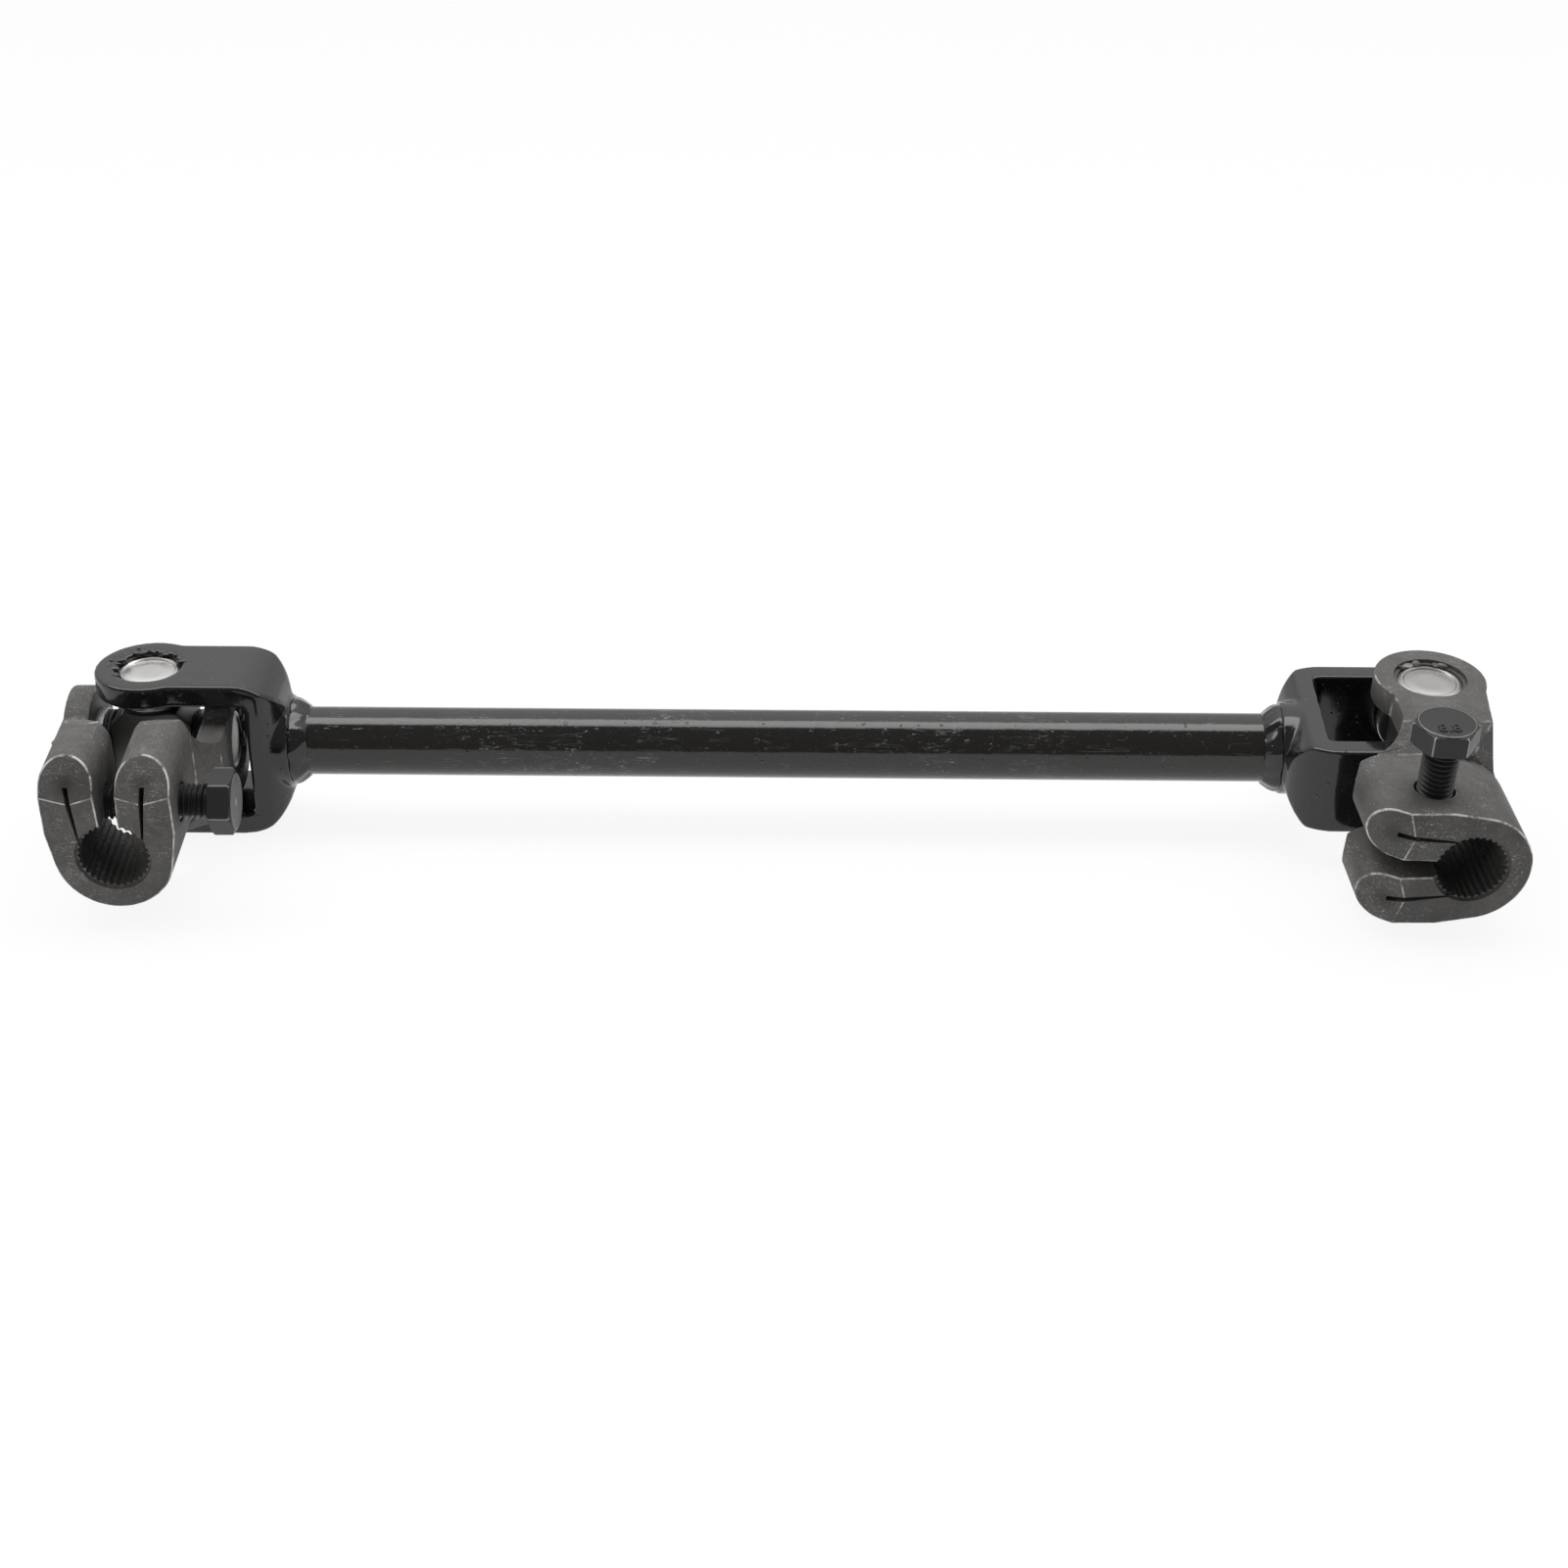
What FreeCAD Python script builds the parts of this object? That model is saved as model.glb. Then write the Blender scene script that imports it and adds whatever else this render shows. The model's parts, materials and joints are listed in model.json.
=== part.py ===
import FreeCAD, Part
import math
import os
import re
import Sketcher

# Steering intermediate shaft: a solid bar with a bent-strap yoke welded on each end, a needle-bearing
# cross in each yoke, and a folded pinch yoke with a serrated bore on each cross.
# Millimetres. The bar lies along X at its height above the table, +Z is up, and the origin is
# under the middle of the whole part.

doc = FreeCAD.newDocument("SteeringShaft")
sheet = doc.addObject("Spreadsheet::Sheet", "Sizes")

# Driving dimensions: name, value, meaning.
SIZES = [
    ("joint_span", 295, "distance between the two joint centres"),
    ("axis_shift", 1.45, "middle of the bar from the middle of the part"),
    ("axis_height", 20.5, "bar axis above the table"),
    ("axis_setback", 15.67, "bar axis behind the middle of the part"),
    ("bar_dia", 16, "solid bar"),
    ("left_swing", 1, "left cross turned in the strap yoke"),
    ("left_droop", 3, "left pinch yoke dropped on its cross"),
    ("right_phase", 3, "right strap yoke turned round the bar"),
    ("right_swing", 2, "right cross turned in the strap yoke"),
    ("right_bend", 4, "right pinch yoke turned on its cross"),
    ("cup_dia", 15, "bearing cup outside diameter"),
    ("cup_face", 18.3, "joint centre to the outer face of a cup"),
    ("cup_length", 7.2, "bearing cup length"),
    ("cup_sides", 20, "flats that stand for the round of a cup"),
    ("cup_floor", 1.25, "thickness of the closed end of a cup"),
    ("seal_dia", 14.2, "lip seal outside diameter"),
    ("seal_thick", 1.5, "lip seal thickness"),
    ("journal_dia", 8.6, "trunnion diameter under the rollers"),
    ("journal_sides", 24, "flats that stand for the round of a trunnion"),
    ("roller_count", 16, "needle rollers round a trunnion"),
    ("roller_play", 0.03, "radial clearance from the rollers to the trunnion"),
    ("end_play", 0.05, "clearance at trunnion ends and cup mouths"),
    ("hub_thick", 11, "thickness of the cross between its flats"),
    ("hub_corner", 3.2, "bevelled corners of the cross"),
    ("strap_inner", 28.2, "gap between the strap yoke ears"),
    ("strap_outer", 39, "width over the strap yoke ears"),
    ("strap_ear", 12.4, "radius of the strap yoke ears"),
    ("strap_width", 21.8, "width of the strap between ear and back"),
    ("strap_back", 32.5, "joint centre to the back of the strap"),
    ("strap_corner", 11.5, "outer bend radius of the strap"),
    ("strap_dome", 14.4, "radius of the pressed back across the strap"),
    ("throat_depth", 26.5, "joint centre to the bottom of the throat"),
    ("throat_corner", 5.5, "inner bend radius of the strap"),
    ("throat_dish", 20, "radius of the dished throat across the strap"),
    ("collar_dia", 21.6, "drawn collar round the bar"),
    ("collar_end", 32.7, "joint centre to the end of the collar"),
    ("bar_start", 27.6, "joint centre to the end of the bar"),
    ("weld_length", 3.6, "length of the weld fillet on the bar"),
    ("weld_toe", 0.3, "height of the weld fillet where it ends"),
    ("weld_sides", 24, "flats round a weld bead"),
    ("sheet", 6, "sheet thickness of the pinch yoke"),
    ("ear_gap", 26.4, "gap between the pinch yoke ears"),
    ("ear_radius", 12.75, "ear radius round the cup"),
    ("waist_upper", 10.3, "half width of the neck, lug side"),
    ("waist_lower", 9.5, "half width of the neck, barrel side"),
    ("joggle_start", 19, "joint centre to the start of the joggle"),
    ("joggle_end", 25.5, "joint centre to the end of the joggle"),
    ("yoke_front", 49.5, "joint centre to the mouth of the bore"),
    ("barrel_dia", 26.4, "rolled barrel outside diameter"),
    ("lug_flare", 1.2, "how far each lug stands out from the barrel"),
    ("lug_lean", 6, "height at which the lug sides turn upright"),
    ("fold_height", 17.5, "centre of the hem above the bore axis"),
    ("hem_slit", 0.5, "slit left between the two layers of a lug"),
    ("hem_foot", 6.6, "bore axis to the foot of the slit, inside the bore"),
    ("clamp_gap", 4.1, "gap between the lugs at the bore"),
    ("facet_height", 15.6, "height where the front facet starts"),
    ("facet_depth", 5.2, "depth of the front facet at the top of the hem"),
    ("lug_sweep", 11, "radius of the sweep behind the lugs"),
    ("sweep_lead", 0.5, "how far the sweep runs past the joggle"),
    ("lug_rear", 31.5, "joint centre to the rear end of the hem"),
    ("relief_mouth", 17.6, "width of the cut-out at the rear of the barrel"),
    ("relief_floor", 8, "width of that cut-out at its bottom"),
    ("relief_depth", 28.5, "joint centre to the bottom of that cut-out"),
    ("wrap_angle", 45, "where the flanks bear on the barrel, down from level"),
    ("serration_count", 32, "teeth in the bore"),
    ("serration_tip", 14.9, "bore diameter over the tooth tips"),
    ("serration_root", 16.3, "bore diameter at the tooth roots"),
    ("bore_lead", 16.9, "diameter of the chamfer at the mouth of the bore"),
    ("bore_lead_depth", 0.8, "depth of that chamfer"),
    ("bolt_dia", 8, "pinch bolt thread diameter"),
    ("bolt_length", 30, "pinch bolt length under the head"),
    ("bolt_setback", 10.4, "bolt axis behind the mouth of the bore"),
    ("bolt_height", 8, "bolt axis above the bore axis"),
    ("bolt_clear", 9, "clearance hole in the lug under the head"),
    ("thread_play", 0.05, "radial clearance in the tapped lug"),
    ("head_flats", 13, "hexagon across flats"),
    ("head_height", 5.3, "bolt head height"),
    ("left_bolt_out", 6.7, "left bolt head stands off its lug"),
    ("right_bolt_out", 11.6, "right bolt head stands off its lug"),
]
NAMES = [entry[0] for entry in SIZES]

for row, (name, number, meaning) in enumerate(SIZES, start=1):
    sheet.set(f"A{row}", meaning)
    sheet.set(f"B{row}", str(number))
    sheet.setAlias(f"B{row}", name)
doc.recompute()


# Expressions: sizes are named in them as in the sheet.

def full(expression):
    """Write the sheet's name before each size in an expression."""
    return re.sub(r"[a-z_]+\b", lambda hit: "Sizes." + hit.group() if hit.group() in NAMES else hit.group(),
                  str(expression))


def number(expression):
    """The present value of an expression of sizes."""
    result = sheet.evalExpression(full(expression))
    return float(getattr(result, "Value", result))


def bind(item, **expressions):
    """Tie properties of an object to the sheet."""
    for prop, expression in expressions.items():
        item.setExpression(prop, full(expression))
    return item


def add(kind, name, **expressions):
    """A document object with its sizes bound."""
    return bind(doc.addObject(kind, name), **expressions)


def where(x="0", y="0", z="0", turn="rotation(vector(0;0;1);0)"):
    """A placement expression: a point and a turn."""
    return f"placement(vector({x};{y};{z});{turn})"


def about(axis, angle):
    """A turn about a main axis."""
    vector = {"x": "1;0;0", "y": "0;1;0", "z": "0;0;1"}[axis]
    return f"rotation(vector({vector});{angle})"


# Sketch planes of the Part outlines. FRONT: across and up, looking into the bore, extruded towards the
# mouth. SIDE: along the bore and up. PLAN: across and along the bore. The strap yoke lies the other way:
# RISE is along the bar and up, FLAT is along the bar and across.
FRONT = about("x", "90")
SIDE = about("z", "-90") + "*" + about("x", "90")
PLAN = about("x", "180")
RISE = about("x", "90")
FLAT = about("x", "0")


# Sketches

def fix_point(sketch, geometry, vertex, x, y):
    """Hold a vertex at a place given by two expressions."""
    for kind, expression in (("DistanceX", x), ("DistanceY", y)):
        index = sketch.addConstraint(Sketcher.Constraint(kind, -1, 1, geometry, vertex, number(expression)))
        sketch.setExpression(f"Constraints[{index}]", full(expression))


def rounded_corner(before, corner, after, radius):
    """Tangent points and arc that round a corner; the arc runs anticlockwise."""
    into = (corner - before).normalize()
    out = (after - corner).normalize()
    turn = into.getAngle(out)
    reach = radius * math.tan(turn / 2)
    first = corner - into * reach
    second = corner + out * reach
    left = into.x * out.y - into.y * out.x > 0
    side = FreeCAD.Vector(-into.y, into.x, 0) * (radius if left else -radius)
    centre = first + side
    start, end = (first, second) if left else (second, first)
    angles = [math.atan2(point.y - centre.y, point.x - centre.x) for point in (start, end)]
    if angles[1] < angles[0]:
        angles[1] += 2 * math.pi
    arc = Part.ArcOfCircle(Part.Circle(centre, FreeCAD.Vector(0, 0, 1), radius), angles[0], angles[1])
    return first, second, arc, left


def centred_arc(start, end, centre, anticlockwise):
    """Arc from start to end about a centre."""
    if not anticlockwise:
        start, end = end, start
    radius = (start - centre).Length
    angles = [math.atan2(point.y - centre.y, point.x - centre.x) for point in (start, end)]
    if angles[1] < angles[0]:
        angles[1] += 2 * math.pi
    return Part.ArcOfCircle(Part.Circle(centre, FreeCAD.Vector(0, 0, 1), radius), angles[0], angles[1])


def outline(sketch, corners, arcs=None):
    """Draw a closed outline. A corner is (x, y) or (x, y, radius) in expressions. arcs maps the index of
    a corner to (centre x, centre y, anticlockwise) where the edge that leaves it is an arc."""
    arcs = arcs or {}
    count = len(corners)
    points = [FreeCAD.Vector(number(corner[0]), number(corner[1]), 0) for corner in corners]
    starts = list(points)
    ends = list(points)
    rounds = {}
    for index, corner in enumerate(corners):
        if len(corner) == 3:
            first, second, arc, left = rounded_corner(
                points[index - 1], points[index], points[(index + 1) % count], number(corner[2]))
            ends[index] = first
            starts[index] = second
            rounds[index] = (arc, left)
    edges = []
    for index in range(count):
        start = starts[index]
        end = ends[(index + 1) % count]
        if index in arcs:
            cx, cy, anticlockwise = arcs[index]
            centre = FreeCAD.Vector(number(cx), number(cy), 0)
            item = sketch.addGeometry(centred_arc(start, end, centre, anticlockwise))
            edges.append((item, 1, 2) if anticlockwise else (item, 2, 1))
        else:
            edges.append((sketch.addGeometry(Part.LineSegment(start, end)), 1, 2))
    for index, corner in enumerate(corners):
        before = edges[index - 1]
        after = edges[index]
        if index in rounds:
            arc, left = rounds[index]
            item = sketch.addGeometry(arc)
            mark = sketch.addGeometry(Part.Point(points[index]), True)
            fix_point(sketch, mark, 1, corner[0], corner[1])
            sketch.addConstraint(Sketcher.Constraint("PointOnObject", mark, 1, before[0]))
            sketch.addConstraint(Sketcher.Constraint("PointOnObject", mark, 1, after[0]))
            begin, finish = (1, 2) if left else (2, 1)
            sketch.addConstraint(Sketcher.Constraint("Tangent", before[0], before[2], item, begin))
            sketch.addConstraint(Sketcher.Constraint("Tangent", item, finish, after[0], after[1]))
            held = sketch.addConstraint(Sketcher.Constraint("Radius", item, arc.Radius))
            sketch.setExpression(f"Constraints[{held}]", full(corner[2]))
        else:
            sketch.addConstraint(Sketcher.Constraint("Coincident", before[0], before[2], after[0], after[1]))
            fix_point(sketch, after[0], after[1], corner[0], corner[1])
    for index, (cx, cy, anticlockwise) in arcs.items():
        chord = points[(index + 1) % count] - points[index]
        kind, value = ("DistanceY", cy) if abs(chord.x) > abs(chord.y) else ("DistanceX", cx)
        held = sketch.addConstraint(Sketcher.Constraint(kind, -1, 1, edges[index][0], 3, number(value)))
        sketch.setExpression(f"Constraints[{held}]", full(value))
    return sketch


def body_sketch(body, name, role):
    """A sketch on one of a body's own origin planes."""
    sketch = body.newObject("Sketcher::SketchObject", name)
    plane = [item for item in body.Origin.OriginFeatures if item.Role == role][0]
    sketch.AttachmentSupport = [(plane, "")]
    sketch.MapMode = "FlatFace"
    return sketch


def origin_axis(body, role):
    """One of a body's own origin axes."""
    return [item for item in body.Origin.OriginFeatures if item.Role == role][0]


def circle(sketch, diameter):
    """A circle about the sketch origin."""
    item = sketch.addGeometry(Part.Circle(FreeCAD.Vector(), FreeCAD.Vector(0, 0, 1), number(diameter) / 2))
    sketch.addConstraint(Sketcher.Constraint("Coincident", item, 3, -1, 1))
    held = sketch.addConstraint(Sketcher.Constraint("Diameter", item, number(diameter)))
    sketch.setExpression(f"Constraints[{held}]", full(diameter))
    return sketch


def polygon(sketch, reach, sides):
    """A regular outline about the sketch origin, its corners at the given reach."""
    step = f"(360deg/{sides})"
    return outline(sketch, [
        (f"({reach})*cos({step}*{index})", f"({reach})*sin({step}*{index})") for index in range(round(number(sides)))
    ])


# Solids from Part operations

def prism(name, plane, corners, start, depth, arcs=None):
    """An outline in one of the sketch planes, extruded from a start distance along its normal."""
    sketch = doc.addObject("Sketcher::SketchObject", name + "_outline")
    shift = f"placement(vector(0;0;0);{plane})*placement(vector(0;0;{start});rotation(vector(0;0;1);0))"
    bind(sketch, Placement=shift)
    outline(sketch, corners, arcs)
    solid = doc.addObject("Part::Extrusion", name)
    solid.Base = sketch
    solid.DirMode = "Normal"
    solid.Solid = True
    return bind(solid, LengthFwd=depth)


def rod(name, diameter, length, place):
    """A cylinder along the Z axis of its placement."""
    return add("Part::Cylinder", name, Radius=f"({diameter})/2", Height=length, Placement=place)


def fuse(name, *parts):
    solid = doc.addObject("Part::MultiFuse", name)
    solid.Shapes = list(parts)
    solid.Refine = True
    return solid


def common(name, first, second):
    solid = doc.addObject("Part::Common", name)
    solid.Base = first
    solid.Tool = second
    return solid


def cut(name, base, tool):
    solid = doc.addObject("Part::Cut", name)
    solid.Base = base
    solid.Tool = tool
    return solid


def mirrored(name, source):
    """The other side's copy, across the middle plane of the yoke."""
    solid = doc.addObject("Part::Mirroring", name)
    solid.Source = source
    solid.Normal = FreeCAD.Vector(1, 0, 0)
    return solid


PARTS = []


def keep(item, label, place):
    """Name a finished piece and put it in its place on the shaft."""
    item.Label = label
    bind(item, Placement=place)
    PARTS.append(item)
    return item


# Frames of the two joints. A strap frame has X towards the middle of the bar and Z along the ears'
# holes. A cross frame has Z along the strap yoke's holes and X along the pinch yoke's. A pinch frame has
# X along its ears' holes, the bore along -Y and the lugs on its +Z side.
BAR = where("axis_shift", "axis_setback", "axis_height")
LEFT = BAR + "*" + where("-joint_span/2")
RIGHT = BAR + "*" + where("joint_span/2", turn=about("x", "right_phase"))
STRAP = {
    "left": LEFT,
    "right": RIGHT + "*" + where(turn=about("y", "180") + "*" + about("x", "-90")),
}
CROSS = {
    "left": LEFT + "*" + where(turn=about("z", "left_swing")),
    "right": RIGHT + "*" + where(turn=about("y", "right_swing-90") + "*" + about("x", "-90")),
}
PINCH = {
    "left": CROSS["left"] + "*" + where(turn=about("x", "left_droop")),
    "right": RIGHT + "*" + where(turn="*".join([about("y", "right_swing"), about("z", "right_bend"),
                                                about("y", "-90")])),
}


# Bar

def shaft_bar():
    """Solid bar between the two strap yokes, its ends inside their backs."""
    body = doc.addObject("PartDesign::Body", "Bar")
    sketch = circle(body_sketch(body, "Bar_section", "YZ_Plane"), "bar_dia")
    pad = body.newObject("PartDesign::Pad", "Bar_pad")
    pad.Profile = sketch
    pad.Midplane = True
    bind(pad, Length="joint_span - 2*bar_start")
    keep(body, "shaft_bar", BAR)


def weld_bead(side):
    """Fillet weld round the bar at the end of a collar."""
    turn = about("y", "90")
    section = doc.addObject("Sketcher::SketchObject", "Weld_section_" + side)
    bind(section, Placement=where("collar_end", turn=turn))
    polygon(section, "collar_dia/2", "weld_sides")
    bead = doc.addObject("Part::Extrusion", "Weld_cone_" + side)
    bead.Base = section
    bead.DirMode = "Normal"
    bead.Solid = True
    bind(bead, LengthFwd="weld_length",
         TaperAngle="-atan((collar_dia/2*cos(180deg/weld_sides) - bar_dia/2 - weld_toe)/weld_length)")
    hole = rod("Weld_hole_" + side, "bar_dia", "2*weld_length", where("collar_end - weld_length/2", turn=turn))
    return bind(cut("Weld_bead_" + side, bead, hole), Placement=STRAP[side])


def weld_beads():
    """The two fillet welds, one node."""
    group = doc.addObject("Part::Compound", "Weld_beads")
    group.Links = [weld_bead("left"), weld_bead("right")]
    keep(group, "weld_beads", where())


# Strap yoke

def strap_yoke(side):
    """Strap yoke: two parallel ears, a domed back and a collar for the bar."""
    half = "strap_width/2"
    neck = f"sqrt(strap_ear^2 - ({half})^2)"
    far = "strap_outer/2"
    rise = prism("Strap_rise_" + side, RISE, [
        ("-strap_width", "-" + far),
        ("strap_back", "-" + far, "strap_corner"),
        ("strap_back", far, "strap_corner"),
        ("-strap_width", far),
    ], "-strap_width", "2*strap_width")
    sag = f"(strap_dome - sqrt(strap_dome^2 - ({half})^2))"
    flat = prism("Strap_flat_" + side, FLAT, [
        (neck, "-" + half),
        (f"strap_back - {sag}", "-" + half),
        (f"strap_back - {sag}", half),
        (neck, half),
    ], "-strap_outer", "2*strap_outer", {
        1: ("strap_back - strap_dome", "0", True),
        3: ("0", "0", True),
    })
    outer = common("Strap_form_" + side, rise, flat)
    near = "strap_inner/2"
    hollow = prism("Throat_rise_" + side, RISE, [
        ("-strap_width", "-" + near),
        ("throat_depth", "-" + near, "throat_corner"),
        ("throat_depth", near, "throat_corner"),
        ("-strap_width", near),
    ], "-strap_width", "2*strap_width")
    dish = f"(throat_dish - sqrt(throat_dish^2 - (strap_ear*1.1)^2))"
    floor = prism("Throat_flat_" + side, FLAT, [
        ("-strap_width", "-strap_ear*1.1"),
        (f"throat_depth - {dish}", "-strap_ear*1.1"),
        (f"throat_depth - {dish}", "strap_ear*1.1"),
        ("-strap_width", "strap_ear*1.1"),
    ], "-strap_outer", "2*strap_outer", {1: ("throat_depth - throat_dish", "0", True)})
    throat = common("Throat_" + side, hollow, floor)
    collar = rod("Collar_" + side, "collar_dia", "collar_end - throat_depth - 1",
                 where("throat_depth + 1", turn=about("y", "90")))
    solid = fuse("Strap_solid_" + side, cut("Strap_bent_" + side, outer, throat), collar)
    hole = rod("Cup_holes_" + side, "cup_dia", "2*strap_outer", where(z="-strap_outer"))
    seat = rod("Bar_seat_" + side, "bar_dia", "collar_end", where("throat_depth - 1", turn=about("y", "90")))
    tools = fuse("Strap_holes_" + side, hole, seat)
    keep(cut("Strap_yoke_" + side, solid, tools), "strap_yoke_" + side, STRAP[side])


# Universal joint pieces

def cross(side):
    """Spider: a flat forged hub with four trunnions."""
    body = doc.addObject("PartDesign::Body", "Cross_" + side)
    flat = "(cup_face - cup_length - seal_thick - end_play)"
    near = f"({flat} - hub_corner)"
    corners = [(flat, near), (near, flat), ("-" + near, flat), ("-" + flat, near),
               ("-" + flat, "-" + near), ("-" + near, "-" + flat), (near, "-" + flat), (flat, "-" + near)]
    hub = body.newObject("PartDesign::Pad", "Hub_" + side)
    hub.Profile = outline(body_sketch(body, "Hub_section_" + side, "XZ_Plane"), corners)
    hub.Midplane = True
    bind(hub, Length="hub_thick")
    for plane in ("XY_Plane", "YZ_Plane"):
        arms = body.newObject("PartDesign::Pad", "Trunnions_" + side)
        arms.Profile = polygon(body_sketch(body, "Trunnion_section_" + side, plane), "journal_dia/2", "journal_sides")
        arms.Midplane = True
        bind(arms, Length="2*(cup_face - cup_floor - end_play)")
    keep(body, "cross_" + side, CROSS[side])


# Flat to flat, the lining of a cup and its seal clear the trunnion all round.
LINING = "(journal_dia/2 + roller_play)/cos(180deg/roller_count)"


def bearing_cup(place):
    """Drawn cup, open towards the cross; its needle rollers are one lining with a flat per roller."""
    body = doc.addObject("PartDesign::Body", "Cup")
    shell = body.newObject("PartDesign::Pad", "Cup_wall")
    shell.Profile = polygon(body_sketch(body, "Cup_section", "XY_Plane"), "cup_dia/2", "cup_sides")
    bind(shell, Length="cup_length")
    bore = body.newObject("PartDesign::Pocket", "Roller_bore")
    bore.Profile = polygon(body_sketch(body, "Roller_section", "XY_Plane"), LINING, "roller_count")
    bore.Reversed = True
    bind(bore, Length="cup_length - cup_floor")
    return bind(body, Placement=place)


def lip_seal(place):
    """Ring between the mouth of a cup and the hub of the cross."""
    body = doc.addObject("PartDesign::Body", "Seal")
    ring = body.newObject("PartDesign::Pad", "Seal_ring")
    ring.Profile = polygon(body_sketch(body, "Seal_section", "XY_Plane"), "seal_dia/2", "cup_sides")
    bind(ring, Length="seal_thick")
    bore = body.newObject("PartDesign::Pocket", "Seal_bore")
    bore.Profile = polygon(body_sketch(body, "Lip_section", "XY_Plane"), LINING, "roller_count")
    bore.Reversed = True
    bind(bore, Length="2*seal_thick")
    return bind(body, Placement=place)


def cup_frame(frame, turn, reach):
    """A place along a trunnion, its Z axis outwards, a given reach from the joint centre."""
    return frame + "*" + where(turn=turn) + "*" + where(z=reach)


CUP_MOUTH = "cup_face - cup_length"
SEAL_FACE = "cup_face - cup_length - seal_thick"


def strap_bearings():
    """The four cups in the strap yokes and their seals, one node each."""
    for label, piece, reach in (("strap_cups", bearing_cup, CUP_MOUTH), ("strap_seals", lip_seal, SEAL_FACE)):
        group = doc.addObject("Part::Compound", label)
        group.Links = [
            piece(cup_frame(STRAP[side], about("x", angle), reach))
            for side in ("left", "right") for angle in ("0", "180")
        ]
        keep(group, label, where())


def pinch_bearings(side):
    """The two cups in a pinch yoke and their seals, each a node of its own."""
    for end, angle in (("a", "90"), ("b", "-90")):
        turn = about("y", angle)
        mouth = cup_frame(PINCH[side], turn, CUP_MOUTH)
        keep(bearing_cup(mouth), f"pinch_cup_{side}_{end}", mouth)
        face = cup_frame(PINCH[side], turn, SEAL_FACE)
        keep(lip_seal(face), f"pinch_seal_{side}_{end}", face)


# Folded pinch yoke

# Half the width over the clamp lugs.
LUG = "(barrel_dia/2 + lug_flare)"
# Along the bore, where the sweep behind the lugs starts.
SWEEP_START = "(joggle_end + sweep_lead - lug_sweep)"


def serration_broach(side):
    """The form that cuts the serrated bore, along +Z."""
    body = doc.addObject("PartDesign::Body", "Broach_" + side)
    length = "yoke_front"
    core = body.newObject("PartDesign::Pad", "Broach_core_" + side)
    core.Profile = circle(body_sketch(body, "Broach_core_section_" + side, "XY_Plane"), "serration_tip")
    bind(core, Length=length)
    half = "(180deg/serration_count)"
    sketch = body_sketch(body, "Broach_tooth_section_" + side, "XY_Plane")
    outline(sketch, [
        ("serration_tip/4", "0"),
        (f"serration_tip/2*cos{half}", f"-serration_tip/2*sin{half}"),
        ("serration_root/2", "0"),
        (f"serration_tip/2*cos{half}", f"serration_tip/2*sin{half}"),
    ])
    tooth = body.newObject("PartDesign::Pad", "Broach_tooth_" + side)
    tooth.Profile = sketch
    bind(tooth, Length=length)
    pattern = body.newObject("PartDesign::PolarPattern", "Broach_teeth_" + side)
    pattern.Originals = [tooth]
    pattern.Axis = (origin_axis(body, "Z_Axis"), [""])
    pattern.Angle = 360
    bind(pattern, Occurrences="serration_count")
    body.Tip = pattern
    return bind(body, Placement=where(turn=about("x", "90")))


def clamp_block(side):
    """Barrel and hemmed lugs, open at the top, before the bore is cut."""
    lug = LUG
    inner = f"({LUG} - 2*sheet)"
    centre = f"({LUG} - sheet)"
    reach = f"sqrt(({lug})^2 + lug_lean^2)"
    angle = f"(atan(lug_lean/({lug})) - acos(barrel_dia/2/{reach}))"
    touch = (f"barrel_dia/2*cos({angle})", f"barrel_dia/2*sin({angle})")
    form = prism("Clamp_form_" + side, FRONT, [
        (lug, "fold_height"),
        (inner, "fold_height"),
        ("clamp_gap/2", "serration_tip/2"),
        ("clamp_gap/2", "0"),
        ("-clamp_gap/2", "0"),
        ("-clamp_gap/2", "serration_tip/2"),
        ("-" + inner, "fold_height"),
        ("-" + lug, "fold_height"),
        ("-" + lug, "lug_lean"),
        ("-" + touch[0], touch[1]),
        touch,
        (lug, "lug_lean"),
    ], "joggle_end", "yoke_front - joggle_end", {
        0: (centre, "fold_height", True),
        6: ("-" + centre, "fold_height", True),
        9: ("0", "0", True),
    })
    relief = prism("Barrel_relief_" + side, PLAN, [
        ("-relief_mouth/2", "joggle_end"),
        ("relief_mouth/2", "joggle_end"),
        ("relief_floor/2", "relief_depth"),
        ("-relief_floor/2", "relief_depth"),
    ], "-2*fold_height", "4*fold_height")
    slit = prism("Hem_slit_" + side, FRONT, [
        ("hem_foot - hem_slit/2", "0"),
        ("hem_foot + hem_slit/2", "0"),
        (f"{centre} + hem_slit/2", "fold_height"),
        (f"{centre} - hem_slit/2", "fold_height"),
    ], "0", "2*yoke_front")
    tools = fuse("Clamp_tools_" + side, relief, slit, mirrored("Hem_slit_other_" + side, slit))
    return cut("Clamp_" + side, form, tools)


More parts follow.
